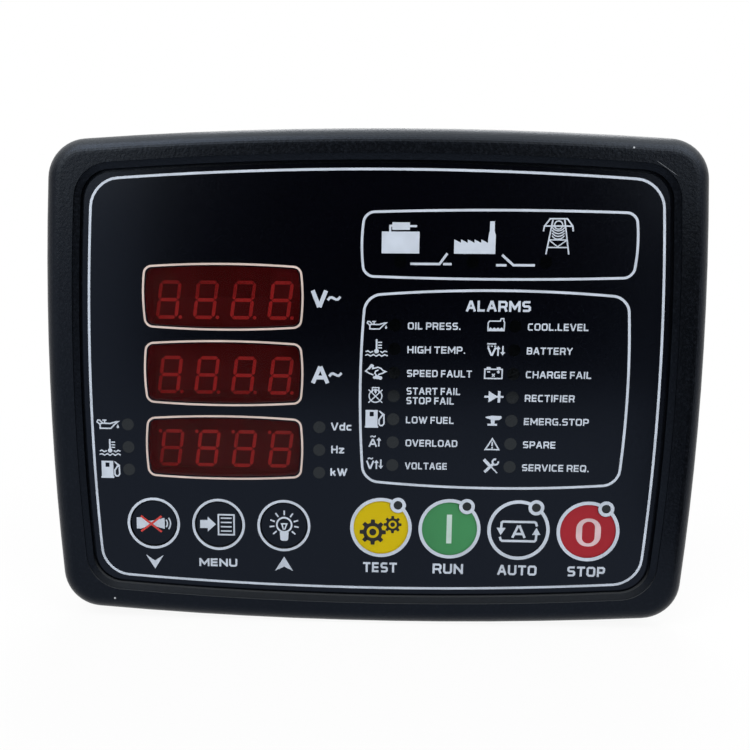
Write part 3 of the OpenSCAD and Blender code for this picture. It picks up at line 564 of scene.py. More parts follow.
def bowed(sheet, middle, size, bow, corner, line):
    """A frame `size` across at its widest, with sides bowed by `bow` (left and right, top and bottom)."""
    part = bmesh.new()
    half = (size[0] / 2 - bow[0], size[1] / 2 - bow[1])
    rounded(part, half, corner)
    sides = [edge for edge in part.edges if edge.calc_length() > corner]
    bmesh.ops.subdivide_edges(part, edges=sides, cuts=20)
    for vert in part.verts:
        across, up = vert.co.x / half[0], vert.co.z / half[1]
        vert.co.x += across * bow[0] * (1 - up * up)
        vert.co.z += up * bow[1] * (1 - across * across)
    inside = part.faces[:]
    bmesh.ops.inset_region(part, faces=inside, thickness=line, use_boundary=True, use_even_offset=True)
    bmesh.ops.delete(part, geom=inside, context="FACES")
    thicken(part)
    lay(sheet, part, spot(*middle))


def centre_of(node):
    """The middle of a CAD node on the panel, in millimetres."""
    low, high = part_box(node)
    centre = (low + high) / 2 / MM
    return Vector((centre.x, centre.z))


sheet = bmesh.new()
for frame_line in FRAMES:
    bowed(sheet, **frame_line)
piece("frame_lines", sheet)

sheet = bmesh.new()
for name in ("volts_filter", "amps_filter", "readout_filter"):
    bowed(sheet, centre_of(name), **WINDOW_FRAME)
piece("window_frames", sheet, ink="cream")

# %% [markdown]
# ## Lines and letters
# Signs and words are drawn with lines of one breadth. A line starts as a chain of edges, is pulled up
# into a thin wall, and the Solidify modifier then gives the wall its breadth, evenly to both sides and
# with mitred corners. Open ends are first drawn out by half the breadth, so that strokes which meet end
# to end close up square.


# %% Lines
def drawn_out(path, reach):
    """The path with its two open ends moved outwards by `reach`."""
    points = [Vector(point) for point in path]
    if path[0] == path[-1]:
        return points
    first = points[0] + (points[0] - points[1]).normalized() * reach
    last = points[-1] + (points[-1] - points[-2]).normalized() * reach
    return [first, *points[1:-1], last]


def lines(sheet, breadth, paths, place=HERE):
    """Draws each path as a line. A path whose last point is its first is a closed one."""
    part = bmesh.new()
    for number, path in enumerate(paths):
        points = drawn_out(path, breadth / 2)
        closed = path[0] == path[-1]
        lift = -STEP * (number % STROKE_LEVELS)
        verts = [part.verts.new((x, lift, z)) for x, z in (points[:-1] if closed else points)]
        for start, end in zip(verts, verts[1:] + verts[:1] if closed else verts[1:]):
            part.edges.new((start, end))
    pull(part, bmesh.ops.extrude_edge_only(part, edges=part.edges[:]))
    wall = to_object("wall", part)
    mesh = wall.data
    shell = wall.modifiers.new("breadth", "SOLIDIFY")
    shell.thickness = breadth
    shell.offset = 0
    shell.use_even_offset = True
    broad = wall.evaluated_get(bpy.context.evaluated_depsgraph_get())
    part = bmesh.new()
    part.from_mesh(broad.to_mesh())
    bpy.data.objects.remove(wall)
    bpy.data.meshes.remove(mesh)
    lay(sheet, part, place)


# %% [markdown]
# Panels like this one are lettered in a broad, squared face. Each letter here has its share of the width
# and its strokes on a grid of eight by eight, across then up, with one stroke after each bar. Strokes
# that meet in a sharp point are drawn one by one, because a mitre there would run far past the letter.

# %% The letters
LETTERS = {
    "A": (1.1, "0,0 3.4,8|8,0 4.6,8|1.6,2.4 6.4,2.4"),
    "B": (1.0, "0,0 0,8 6.6,8 7.8,7 7.8,1 6.6,0 0,0|0,4.1 6.6,4.1"),
    "C": (1.0, "7,8 1.4,8 0,6.8 0,1.2 1.4,0 7,0"),
    "D": (1.05, "0,0 0,8 6.2,8 8,6.6 8,1.4 6.2,0 0,0"),
    "E": (0.95, "7.4,0 0,0 0,8 7.4,8|0,4 7,4"),
    "F": (0.9, "0,0 0,8 7.4,8|0,3.8 6.8,3.8"),
    "G": (1.05, "7,8 1.4,8 0,6.8 0,1.2 1.4,0 8,0 8,3.6 5.6,3.6"),
    "H": (1.05, "0,0 0,8|8,0 8,8|0,4 8,4"),
    "I": (0.3, "4,0 4,8"),
    "L": (0.9, "0,8 0,0 7.4,0"),
    "M": (1.3, "0,0 0,8|8,0 8,8|.6,7.4 4,2|7.4,7.4 4,2"),
    "N": (1.1, "0,0 0,8|8,0 8,8|.8,7.2 7.2,.8"),
    "O": (1.1, "1.4,0 6.6,0 8,1.2 8,6.8 6.6,8 1.4,8 0,6.8 0,1.2 1.4,0"),
    "P": (1.0, "0,0 0,8|0,8 6.6,8 8,7 8,4.2 6.6,3.2 0,3.2"),
    "Q": (1.1, "1.4,0 6.6,0 8,1.2 8,6.8 6.6,8 1.4,8 0,6.8 0,1.2 1.4,0|5.4,1.8 7.2,-.4"),
    "R": (1.05, "0,0 0,8|0,8 6.6,8 8,7 8,4.4 6.6,3.4 0,3.4|6.4,3 7.8,0"),
    "S": (1.0, "7,8 1.4,8 0,7 0,5 1.4,4 6.6,4 8,3 8,1 6.6,0 1,0"),
    "T": (1.0, "0,8 8,8|4,8 4,0"),
    "U": (1.05, "0,8 0,1.2 1.4,0 6.6,0 8,1.2 8,8"),
    "V": (1.1, "0,8 3.4,0|8,8 4.6,0"),
    "W": (1.6, "0,8 2,0|3.9,7.6 2.3,0|4.1,7.6 5.7,0|8,8 6,0"),
    "Y": (1.05, "0,8 4,3.6|8,8 4,3.6|4,4.2 4,0"),
    "c": (0.85, "7,5.4 1.4,5.4 0,4.4 0,1 1.4,0 7,0"),
    "d": (0.9, "8,8 8,0|8,0 1.4,0 0,1 0,4.4 1.4,5.4 8,5.4"),
    "k": (0.9, "0,8 0,0|6.6,5 1,2.4|3,3.4 7.2,0"),
    "z": (0.85, "0,5.4 8,5.4|7,4.8 1,.6|0,0 8,0"),
    ".": (0.3, "4,0 4,.1"),
    " ": (0.2, ""),
}
GRID = 8
LETTER_GAP = 0.15


def words(sheet, text, left, foot, width, cap, breadth):
    """Sets one line of text to a width, from its left end and its foot."""
    gap = LETTER_GAP * cap
    shares = [LETTERS[letter][0] for letter in text]
    unit = (width - gap * (len(text) - 1)) / sum(shares)
    paths = []
    for letter, share in zip(text, shares):
        wide = share * unit
        for stroke in LETTERS[letter][1].split("|"):
            points = [[float(part) for part in point.split(",")] for point in stroke.split()]
            paths.append([(left + breadth / 2 + x / GRID * (wide - breadth),
                           foot + breadth / 2 + z / GRID * (cap - breadth)) for x, z in points])
        left += wide + gap
    lines(sheet, breadth, [path for path in paths if path])


print(len(LETTERS), "letters")

# %% [markdown]
# The list of alarms has seven rows in two columns. A row's height is read from the lamp that it belongs
# to on the real panel, and the words are set to the widths they have there. One row on the left carries
# two short lines.

# %% Alarm words
ROWS = 7
ROW_TOP = 18.6
ROW_PITCH = 7.2
START_LINE = -1.24
STOP_LINE = -4.19
CAP = 2.15
FOOT = 1.2
STROKE = 0.41
LEFT_WORDS = 11.0
RIGHT_WORDS = 46.75


def row(number):
    return ROW_TOP - ROW_PITCH * number


sheet = bmesh.new()
words(sheet, "ALARMS", left=28.25, foot=22.95, width=19.2, cap=3.25, breadth=0.68)
left_list = (("OIL PRESS.", 15.8, row(0)), ("HIGH TEMP.", 17.4, row(1)), ("SPEED FAULT", 19.6, row(2)),
             ("LOW FUEL", 14.6, row(4)), ("OVERLOAD", 15.85, row(5)), ("VOLTAGE", 12.9, row(6)),
             ("START FAIL", 16.3, START_LINE), ("STOP FAIL", 14.5, STOP_LINE))
right_list = (("COOL.LEVEL", 18.0, row(0)), ("BATTERY", 13.6, row(1)), ("CHARGE FAIL", 19.6, row(2)),
              ("RECTIFIER", 14.9, row(3)), ("EMERG.STOP", 19.5, row(4)), ("SPARE", 9.9, row(5)),
              ("SERVICE REQ.", 20.3, row(6)))
for left, entries in ((LEFT_WORDS, left_list), (RIGHT_WORDS, right_list)):
    for text, width, height in entries:
        words(sheet, text, left, height - FOOT, width, CAP, STROKE)
piece("alarm_words", sheet)

# %% [markdown]
# The keys have their names under them, and the small keys for stepping up and down have arrowheads. The
# windows are marked with the sign of what they show, with a wave for alternating current, and the third
# window has three lamps for its three units.

# %% Key names and unit signs
NAME_FOOT = -59.3
NAME_CAP = 3.25
NAME_STROKE = 0.66
DOWN_HEAD = ((-70.4, -55.1), (-67.6, -57.0), (-64.8, -55.1), (-67.6, -59.7))
UP_HEAD = ((-29.3, -59.5), (-26.4, -58.1), (-23.6, -59.5), (-26.4, -54.8))
WAVE = ((-1.65, -0.25), (-1.2, 0.25), (-0.6, 0.3), (0.0, 0.0), (0.6, -0.3), (1.2, -0.25), (1.65, 0.25))
WAVE_STROKE = 0.75
UNIT_CAP = 2.4
UNIT_STROKE = 0.5

sheet = bmesh.new()
for text, left, width in (("TEST", -1.5, 10.6), ("RUN", 20.3, 9.5), ("AUTO", 40.5, 12.1),
                          ("STOP", 62.1, 11.6)):
    words(sheet, text, left, NAME_FOOT, width, NAME_CAP, NAME_STROKE)
words(sheet, "MENU", left=-53.4, foot=-58.5, width=12.1, cap=2.6, breadth=0.6)
plate(sheet, DOWN_HEAD)
plate(sheet, UP_HEAD)
piece("key_names", sheet)

sheet = bmesh.new()
words(sheet, "V", left=-18.1, foot=23.85, width=4.8, cap=5.05, breadth=1.25)
lines(sheet, WAVE_STROKE, [WAVE], spot(-11.3, 26.5))
words(sheet, "A", left=-17.9, foot=0.65, width=5.2, cap=5.2, breadth=1.2)
lines(sheet, WAVE_STROKE, [WAVE], spot(-10.7, 3.4))
for text, left, middle, width in (("Vdc", -11.9, -12.7, 6.4), ("Hz", -11.8, -19.95, 4.0),
                                  ("kW", -12.0, -27.1, 5.2)):
    words(sheet, text, left, middle - UNIT_CAP / 2, width, UNIT_CAP, UNIT_STROKE)
piece("unit_signs", sheet)

# %% [markdown]
# ## Signs
# The signs are the usual ones of engine panels, and some of them come twice, so each is a function that
# draws around its own middle and is given its place. Solid shapes are plates, the rest is lines, and
# waves are short zigzags that read as waves at this size.

# %% Oil, temperature and fuel
FINE = 0.37


def oil_can(sheet, place):
    body = [(-2, 0.1), (-2, -1.15), (0.9, -1.15), (2.2, 0.15), (2.9, 0.7), (2.4, 0.7), (0.8, 0.2),
            (-1.2, 0.25), (-2, 0.1)]
    handle = [(-1.4, 0.4), (-2.1, 1.1), (-2.6, 1.1), (-2.8, 0.6), (-2.1, 0)]
    cap = [(-0.75, 0.4), (-0.75, 0.9)], [(-1.15, 1.1), (-0.4, 1.1)]
    lines(sheet, FINE, [body, handle, *cap], place)
    disc(sheet, (2.85, -0.75), 0.33, place)
    plate(sheet, ((2.57, -0.6), (3.13, -0.6), (2.85, 0)), place)


def thermometer(sheet, place):
    lines(sheet, 0.52, [[(0.1, 2.3), (0.1, -1)]], place)
    disc(sheet, (0.1, -1.05), 0.7, place)
    lines(sheet, FINE, [[(0.7, height), (1.55, height)] for height in (1.6, 0.75, -0.05)], place)
    upper_waves = ([(-3, -1.2), (-2.5, -1), (-1.8, -1.5), (-1.1, -1.2)],
                   [(1.4, -1.2), (1.9, -1.5), (2.6, -1), (3.2, -1.2)])
    lower_wave = [(-3.1, -2.3), (-2.5, -2.1), (-1.7, -2.6), (-0.8, -2.1), (0, -2.6), (0.9, -2.1),
                  (1.7, -2.6), (2.6, -2.1), (3.3, -2.4)]
    lines(sheet, FINE, [*upper_waves, lower_wave], place)


def fuel_pump(sheet, place):
    for low, high in (((-2.95, -2.25), (0.75, 0.75)), ((-2.95, 0.75), (-1.7, 2.7)),
                      ((-0.45, 0.75), (0.75, 2.7)), ((-1.7, 2.15), (-0.45, 2.7)),
                      ((-3.15, -2.8), (0.95, -2.25))):
        block(sheet, low, high, place)
    plate(sheet, ((0.95, 2.5), (1.45, 2.5), (2.95, 1.35), (2.8, 0.8), (2.3, 0.8), (2.1, 1.3)), place)
    hose = [(2.65, 1), (2.7, -1.5), (2.25, -2.1), (1.6, -2.1), (1.2, -1.6), (1.2, -0.2), (2.1, 1)]
    lines(sheet, 0.46, [hose], place)


sheet = bmesh.new()
oil_can(sheet, spot(-81.5, -13, 1.15))
thermometer(sheet, spot(-81, -20.3))
fuel_pump(sheet, spot(-80.8, -27.4))
piece("warning_signs", sheet)

# %% [markdown]
# The left column goes on with a running hare over a tortoise for speed, a crossed-out starter, and
# letters with arrows for current and voltage out of range.


# %% Signs of the left column
def hare(sheet, place):
    outline = [(-0.9, -1.1), (-1.9, -0.7), (-3.1, 0), (-2.1, 1), (-1.4, 2), (-0.8, 1.7), (-1, 0.8),
               (0.6, 1.2), (1.5, 0.9), (2.2, 0.2), (3, -0.1), (2, -0.6), (0.9, -1)]
    leg = [(0.6, 0.3), (-0.1, 0), (-0.3, -0.6), (0.1, -1.2)]
    ear = [(-2, 0.7), (-1.3, 1.5)]
    lines(sheet, 0.4, [outline, leg, ear], place)
    disc(sheet, (-0.4, -1.95), 0.45, place)
    disc(sheet, (1.4, -2.05), 0.55, place)
    plate(sheet, ((-0.5, -2.3), (1.5, -2.5), (1.7, -1.7), (0.6, -1.2), (-0.2, -1.3)), place)


def starter(sheet, place):
    band(sheet, (0, -0.45), 1.75, 2.12, place=place)
    lines(sheet, 0.34, [[(-2, -2.4), (2, 1.4)], [(2, -2.4), (-2, 1.4)]], place)
    lines(sheet, 0.36, [[(-1, 0.9), (-1, 2.15), (1, 2.15), (1, 0.9)]], place)
    plate(sheet, ((-0.35, 1.75), (0.35, 1.75), (0.35, 0.8), (0, 0.2), (-0.35, 0.8)), place)


def arrow(sheet, x, low, high):
    """A thin arrow between two heights; it points to the second one."""
    tip = 1.0 if high > low else -1.0
    lines(sheet, 0.45, [[(x, low), (x, high - tip)]])
    plate(sheet, ((x - 0.75, high - tip), (x + 0.75, high - tip), (x, high)))


ALARM_SIGNS_LEFT = 1.6
SMALL_WAVE = 0.4
SMALL_WAVE_STROKE = 0.9

sheet = bmesh.new()
oil_can(sheet, spot(ALARM_SIGNS_LEFT, row(0)))
thermometer(sheet, spot(ALARM_SIGNS_LEFT, row(1) + 0.4))
hare(sheet, spot(ALARM_SIGNS_LEFT, row(2) + 0.4))
starter(sheet, spot(ALARM_SIGNS_LEFT, row(3) + 0.4))
fuel_pump(sheet, spot(ALARM_SIGNS_LEFT, row(4) + 0.1))
words(sheet, "A", left=-0.25, foot=row(5) - 1.5, width=2.5, cap=2.5, breadth=0.5)
lines(sheet, SMALL_WAVE_STROKE, [WAVE], spot(1.05, row(5) + 1.75, SMALL_WAVE))
arrow(sheet, 2.85, row(5) - 1.15, row(5) + 1.5)
words(sheet, "V", left=-0.95, foot=row(6) - 1.3, width=2.4, cap=2.6, breadth=0.52)
lines(sheet, SMALL_WAVE_STROKE, [WAVE], spot(0.3, row(6) + 2, SMALL_WAVE))
arrow(sheet, 2.2, row(6) - 1.1, row(6) + 1.6)
arrow(sheet, 3.55, row(6) + 1.5, row(6) - 1.25)
piece("alarm_signs_left", sheet)

# %% [markdown]
# On the right are the coolant tank, battery voltage, the battery, a rectifier, the stop button, a warning
# sign for the spare alarm and crossed tools for service.


# %% Signs of the right column
def tank(sheet, place):
    outline = [(-2.4, -1.9), (-2.4, 0.4), (-2, 0.95), (1.2, 0.95), (1.4, 1.7), (2.2, 1.7), (2.2, 1),
               (2.45, 0.6), (2.4, -1.9), (-2.4, -1.9)]
    lines(sheet, FINE, [outline], place)
    plate(sheet, ((-2.2, -1.8), (2.2, -1.8), (2.2, -1.4), (1.65, -0.95), (1.1, -1.4), (0.55, -0.95),
                  (0, -1.4), (-0.55, -0.95), (-1.1, -1.4), (-1.65, -0.95), (-2.2, -1.4)), place)


def battery(sheet, place):
    lines(sheet, 0.42, [[(-2.6, -1.6), (-2.6, 1.2), (2.6, 1.2), (2.6, -1.6), (-2.6, -1.6)]], place)
    block(sheet, (-2.1, 1.3), (-0.9, 1.85), place)
    block(sheet, (0.9, 1.3), (2.1, 1.85), place)
    minus = [(-1.7, 0.4), (-1.2, 0.4)]
    plus = [(1.2, 0.4), (1.7, 0.4)], [(1.45, 0.15), (1.45, 0.65)]
    lines(sheet, 0.38, [minus, *plus], place)
    lines(sheet, 0.32, [[(-0.3, -0.9), (0.3, -0.3)], [(-0.3, -0.3), (0.3, -0.9)]], place)


def rectifier(sheet, place):
    plate(sheet, ((-1.6, 1.75), (-1.6, -1.75), (1.2, 0)), place)
    block(sheet, (1.15, -1.8), (1.9, 1.8), place)
    lines(sheet, 0.6, [[(-2.6, 0), (2.6, 0)]], place)


def stop_button(sheet, place):
    plate(sheet, ((-2.5, 0.95), (-0.5, 1.35), (2.4, 1.25), (2.5, 0.6), (1.8, 0.05), (0.5, -0.05),
                  (-0.9, 0.2), (-2.2, 0.6)), place)
    plate(sheet, ((-0.8, 0.3), (0.5, 0.1), (0.4, -1.2), (-0.6, -1.2)), place)
    block(sheet, (-1.7, -1.75), (1.2, -1.15), place)


def warning(sheet, place):
    lines(sheet, 0.42, [[(0, 1.6), (2.05, -1.8), (-2.05, -1.8), (0, 1.6)]], place)
    lines(sheet, 0.45, [[(0, 0.4), (0, -0.5)], [(0, -1.25), (0, -1.2)]], place)


def tools(sheet, place):
    lines(sheet, 0.95, [[(-1.9, 1.6), (-0.7, 0.4)]], place)
    lines(sheet, 0.4, [[(-0.3, 0), (1.8, -2.1)]], place)
    lines(sheet, 0.85, [[(-1.6, -1.7), (0.6, 0.5)]], place)
    band(sheet, (1.3, 1.2), 0.6, 1.15, 75, 300, place)


sheet = bmesh.new()
tank(sheet, spot(37.35, row(0) + 0.6))
words(sheet, "V", left=35, foot=row(1) - 1.7, width=2.6, cap=2.6, breadth=0.55)
lines(sheet, 0.4, [[(35.1, row(1) + 1.9), (37.4, row(1) + 1.9)]])
lines(sheet, 0.3, [[(x, row(1) + 1.2), (x + 0.3, row(1) + 1.2)] for x in (35.1, 36.1, 37.1)])
arrow(sheet, 38.2, row(1) - 1.5, row(1) + 1.3)
arrow(sheet, 39.6, row(1) + 1.1, row(1) - 1.6)
battery(sheet, spot(37.05, row(2) + 0.2))
rectifier(sheet, spot(37.45, row(3) + 0.2))
stop_button(sheet, spot(37.5, row(4) + 0.2))
warning(sheet, spot(37.45, row(5)))
tools(sheet, spot(37.3, row(6) + 0.3))
piece("alarm_signs_right", sheet)

# %% [markdown]
# Above the alarms is a small diagram of the plant: the generating set, the building that it feeds and the
# pylon of the mains, with a switch on each side of the building and a lamp under each sign.


# %% Plant diagram
def generating_set(sheet):
    block(sheet, (2.75, 40), (13.9, 46.4))
    block(sheet, (5.8, 46.9), (11, 49.1))
    lines(sheet, 0.6, [[(11.2, 48), (12.8, 48)], [(5.7, 48.1), (5.2, 48.1), (5.2, 46.4)]])


def factory(sheet):
    teeth = 5
    pitch = 1.99
    left = 24.15
    roof = []
    for tooth in range(teeth):
        roof += [(left + pitch * tooth, 44.2), (left + pitch * (tooth + 1), 43.2)]
    chimney = [(34.1, 44.2), (34.2, 45.4), (34.5, 46.8), (34.5, 49.5), (35.9, 49.5), (35.9, 46.8),
               (36.3, 45.4), (36.3, 40)]
    plate(sheet, [(left, 40), *roof, *chimney])


def pylon(sheet):
    place = spot(54.45, 0)
    for side in (-1, 1):
        leg = [(3.3 * side, 40.2), (1.75 * side, 49.8)]
        arm = [(4.3 * side, 46.9), (4.1 * side, 48.2), (2.5 * side, 50.3), (0, 50.3)]
        lines(sheet, 0.42, [leg, arm, [(4.1 * side, 48.2), (0, 48.2)]], place)
        lines(sheet, 0.32, [[(2.4 * side, 44), (0, 42.2)]], place)
    bars = ((2.9, 42), (2.4, 44.2))
    lines(sheet, 0.36, [[(-half, height), (half, height)] for half, height in bars], place)
    band(sheet, (0, 48.5), 1, 1.35, place=place)
    for height in (46.5, 47.3, 48.1, 48.9):
        band(sheet, (0, height), 1.9, 2.26, 212, 116, place)


SWITCHES = (
    [(11.7, 36.95), (20, 36.95), (22, 39.8)],
    [(21.4, 36.95), (23.2, 36.95)],
    [(37, 36.7), (39.4, 36.7)],
    [(38.6, 39.5), (41.75, 36.75), (47.7, 36.75)],
)
sheet = bmesh.new()
generating_set(sheet)
factory(sheet)
pylon(sheet)
lines(sheet, 0.72, SWITCHES)
piece("plant_diagram", sheet)

# %% [markdown]
# ## Keys
# Every key has a printed ring round its opening. A large key also has a small ring for its lamp, which
# cuts into the big one, so the big ring is an arc that stops short of the small one on both sides.

# %% Key rings
SMALL_RING = (7.55, 8.35)
LARGE_RING = (8.55, 9.6)
LAMP_RING = (1.38, 2.42)
LAMP_OFFSET = Vector((5.2, 7.3))
RING_OVERLAP = 2
SMALL_KEYS = ("mute_key", "menu_key", "lamp_key")
LARGE_KEYS = ("test_key", "run_key", "auto_key", "stop_key")


def middle_of(node):
    """The middle of a key on the panel, from the middle of its plunger."""
    return centre_of(node.replace("_key", "_plunger"))


def body_of(node):
    return node.replace("_key", "_button")


sheet = bmesh.new()
for node in SMALL_KEYS:
    band(sheet, middle_of(node), *SMALL_RING)
lamp_angle = math.degrees(math.atan2(LAMP_OFFSET.y, LAMP_OFFSET.x))
bitten = math.degrees(2 * math.asin(LAMP_RING[1] / 2 / LAMP_OFFSET.length)) - RING_OVERLAP
for node in LARGE_KEYS:
    centre = middle_of(node)
    band(sheet, centre, *LARGE_RING, lamp_angle + bitten, FULL_TURN - 2 * bitten)
    band(sheet, centre + LAMP_OFFSET, *LAMP_RING)
piece("key_rings", sheet)
print("a lamp ring takes", round(2 * bitten), "degrees of a key ring")

# %% [markdown]
# The legends of the keys are printed on the keys themselves, so each rides on its own key and goes in
# with it. The small keys carry a horn that is crossed out in red, an arrow to a list, and a lamp with its
# rays.


# %% Legends of the small keys
def legend(name, node, draw, ink="white"):
    """Draws one key's legend around the middle of the key."""
    sheet = bmesh.new()
    draw(sheet, spot(*middle_of(node)))
    piece(name, sheet, KEY, body_of(node), ink)


def horn(sheet, place):
    plate(sheet, ((-5.5, -1.9), (-4.1, -1.9), (-1.2, -0.7), (-1.2, 0.6), (-4.1, 1.75), (-5.5, 1.75)), place)
    plate(sheet, ((-1.2, -0.7), (3.4, -1.9), (3.4, 1.75), (-1.2, 0.6)), place)
    for radius in (1.75, 2.75):
        band(sheet, (2.3, -0.1), radius, radius + 0.42, -38, 76, place)


def cross(sheet, place):
    over_the_horn = place @ Matrix.Translation((0, -INK, 0))
    lines(sheet, 0.62, [[(-3.9, 2.1), (2.2, -2.7)], [(-3.9, -2.6), (2.2, 2.1)]], over_the_horn)


def menu(sheet, place):
    block(sheet, (-5.9, -1.35), (-3.4, 1.25), place)
    plate(sheet, ((-3.5, -2.5), (-0.9, -0.05), (-3.5, 2.35)), place)
    lines(sheet, 0.5, [[(-0.1, -3.4), (-0.1, 3.1), (4.85, 3.1), (4.85, -3.4), (-0.1, -3.4)]], place)
    lines(sheet, 0.42, [[(0.85, height), (3.9, height)] for height in (2, 0.6, -0.8, -2.2)], place)


def lamp(sheet, place):
    centre = (0.1, 0.2)
    band(sheet, centre, 2.05, 2.6, place=place)
    plate(sheet, ((-1.3, -2.2), (-1.1, -4.7), (-0.6, -5), (0.8, -5), (1.3, -4.7), (1.5, -2.2)), place)
    lines(sheet, 0.4, [[(-0.8, 0.5), (0.9, 0.5), (0.3, -1.2)], [(-0.6, 0.3), (-0.2, -1.2)]], place)
    for angle in (90, 54, 126, 19, 161, -9, 189, -41, 221):
        turn = spot(*centre) @ Matrix.Rotation(math.radians(-angle), 4, "Y")
        lines(sheet, 0.48, [[(3.4, 0), (4.4, 0)]], place @ turn)


legend("mute_legend", "mute_key", horn)
legend("mute_cross", "mute_key", cross, "red")
legend("menu_legend", "menu_key", menu)
legend("lamp_legend", "lamp_key", lamp)

# %% [markdown]
# The yellow key has two black gears, and the others are white. The nought of the stop key is made like
# the frames: two rectangles with rounded corners, one inside the other, whose edges are bridged into one
# flat ring.


# %% Legends of the large keys
def gear(sheet, centre, root, tip, teeth, place):
    """A gear wheel seen from the front: a ring with teeth, and a hub."""
    band(sheet, centre, 0.63 * root, root, place=place)
    disc(sheet, centre, 0.36 * root, place)
    half = root * math.sin(math.pi / teeth) / 2
    flank = ((0.9 * root, -half * 1.25), (tip, -half), (tip, half), (0.9 * root, half * 1.25))
    for tooth in range(teeth):
        turn = Matrix.Rotation(2 * math.pi * tooth / teeth, 4, "Y")
        plate(sheet, flank, place @ spot(*centre) @ turn)


def gears(sheet, place):
    gear(sheet, (-2.5, -1.6), root=3.05, tip=4.08, teeth=8, place=place)
    gear(sheet, (3.65, 0.95), root=2.05, tip=2.78, teeth=8, place=place)


def one(sheet, place):
    block(sheet, (-0.85, -4.8), (0.75, 4.5), place)


def auto(sheet, place):
    letter = [(-1.6, -2.2), (-0.15, 1.1)], [(1.9, -2.2), (0.45, 1.1)], [(-0.8, -1.3), (1.1, -1.3)]
    lines(sheet, 0.75, letter, place)
    upper = [(5.6, 1.6), (5.4, 2.3), (4.9, 2.6), (-4.8, 2.6), (-5.2, 2.3), (-5.3, 0.8)]
    lower = [(-5.5, -2.7), (-5.3, -3.3), (-4.9, -3.6), (5.1, -3.6), (5.5, -3.2), (5.6, -1.8)]
    lines(sheet, 0.72, [upper, lower], place)
    plate(sheet, ((-6.7, 0.6), (-3.9, 0.6), (-5.4, -1.8)), place)
    plate(sheet, ((4.3, -1.5), (6.9, -1.5), (5.6, 0.8)), place)


def nought(sheet, place):
    part = bmesh.new()
    rounded(part, (3.8, 4.5), 3.5)
    rounded(part, (1.95, 3.5), 1.9)
    bmesh.ops.delete(part, geom=part.faces[:], context="FACES_ONLY")
    bmesh.ops.bridge_loops(part, edges=part.edges[:])
    thicken(part)
    lay(sheet, part, place @ spot(0.25, -0.4))


legend("test_legend", "test_key", gears, "black")
legend("run_legend", "run_key", one, "white_on_green")
legend("auto_legend", "auto_key", auto)
legend("stop_legend", "stop_key", nought, "white_on_red")

# %% [markdown]
# On the real panel one film runs over ring and key. Here the key is a part of its own in an opening, so
# each large key gets a printed edge in its own colour that reaches out over the gap and goes in with the
# key. A second arc does the same round the lamp, where the key is cut out.

# %% Edges of the large keys
KEY_EDGE = (8.15, 8.6)
KEY_EDGE_BITE = 17
CUT_EDGE = (2.55, 2.95)
CUT_EDGE_SWEEP = 130

for node in LARGE_KEYS:
    slot_name = slot_of(nodes[node])
    inks[slot_name] = finishes[slot_name]
    sheet = bmesh.new()
    centre = middle_of(node)
    band(sheet, centre, *KEY_EDGE, lamp_angle + KEY_EDGE_BITE, FULL_TURN - 2 * KEY_EDGE_BITE)
    cut_start = lamp_angle + FULL_TURN / 2 - CUT_EDGE_SWEEP / 2
    band(sheet, centre + LAMP_OFFSET, *CUT_EDGE, cut_start, CUT_EDGE_SWEEP)
    edge = piece(node.replace("_key", "_edge"), sheet, KEY, body_of(node), slot_name)

# %% [markdown]
# ## Lamp windows
# On the real film the lamps are seen through smoked windows that lie flush with the face, so a lamp that
# is off is just a slightly paler disc. A thin disc closes each window, a little below the face. The
# places are those of the lamps in the CAD model: the list, the warnings, the units, the diagram and the
# large keys.

# %% Lamp windows
WINDOW = 1.88
KEY_WINDOW = 1.33
WINDOW_DROP = 0.04
LIST_LAMPS = (7.1, 43.0)
SIDE_LAMPS = (-75.1, -15.5)
SIDE_LAMP_HEIGHTS = (-13.0, -20.2, -27.4)
PLANT_LAMPS = (8.4, 29.8, 51.2)
PLANT_LAMP_HEIGHT = 37.6

places = [(across, row(number)) for number in range(ROWS) for across in LIST_LAMPS]
places += [(across, height) for height in SIDE_LAMP_HEIGHTS for across in SIDE_LAMPS]
places += [(across, PLANT_LAMP_HEIGHT) for across in PLANT_LAMPS]
sheet = bmesh.new()
for centre in places:
    disc(sheet, centre, WINDOW)
for node in LARGE_KEYS:
    disc(sheet, middle_of(node) + LAMP_OFFSET, KEY_WINDOW)
inks["smoke"] = finishes["lamp_smoke"]
windows = piece("lamp_windows", sheet, FILM + (INK + WINDOW_DROP) * MM, ink="smoke")
print(len(places) + len(LARGE_KEYS), "lamp windows")

# %% [markdown]
# ## The table, the light and the camera
# The unit stands on a white table, on the lower edge of its bezel. A table that is lit like the object
# never quite reaches white, so it gives off light of its own, but only to rays that look at it: the
# camera's, and those mirrored or passed on by shiny parts. Near the unit a part of it stays plain diffuse
# white, which keeps a faint shadow, and further out it runs into the white of the backdrop.

# %% Table and backdrop
FLOOR = cad_bounds[0][2]
FLOOR_DROP = 0.05 * MM
TABLE_SIZE = 12.0
OWN_LIGHT = 0.92
SHADOW_REACH = (0.16, 0.4)
AMBIENT = 0.3


def looked_at(wiring):
    """1 for rays of the camera and for mirrored and transmitted ones, otherwise 0."""
    seen = None
    for ray in ("Is Camera Ray", "Is Glossy Ray", "Is Transmission Ray"):
        flag = wiring.node("LightPath", output=ray)
        seen = flag if seen is None else seen.math("MAXIMUM", seen, flag)
    return seen


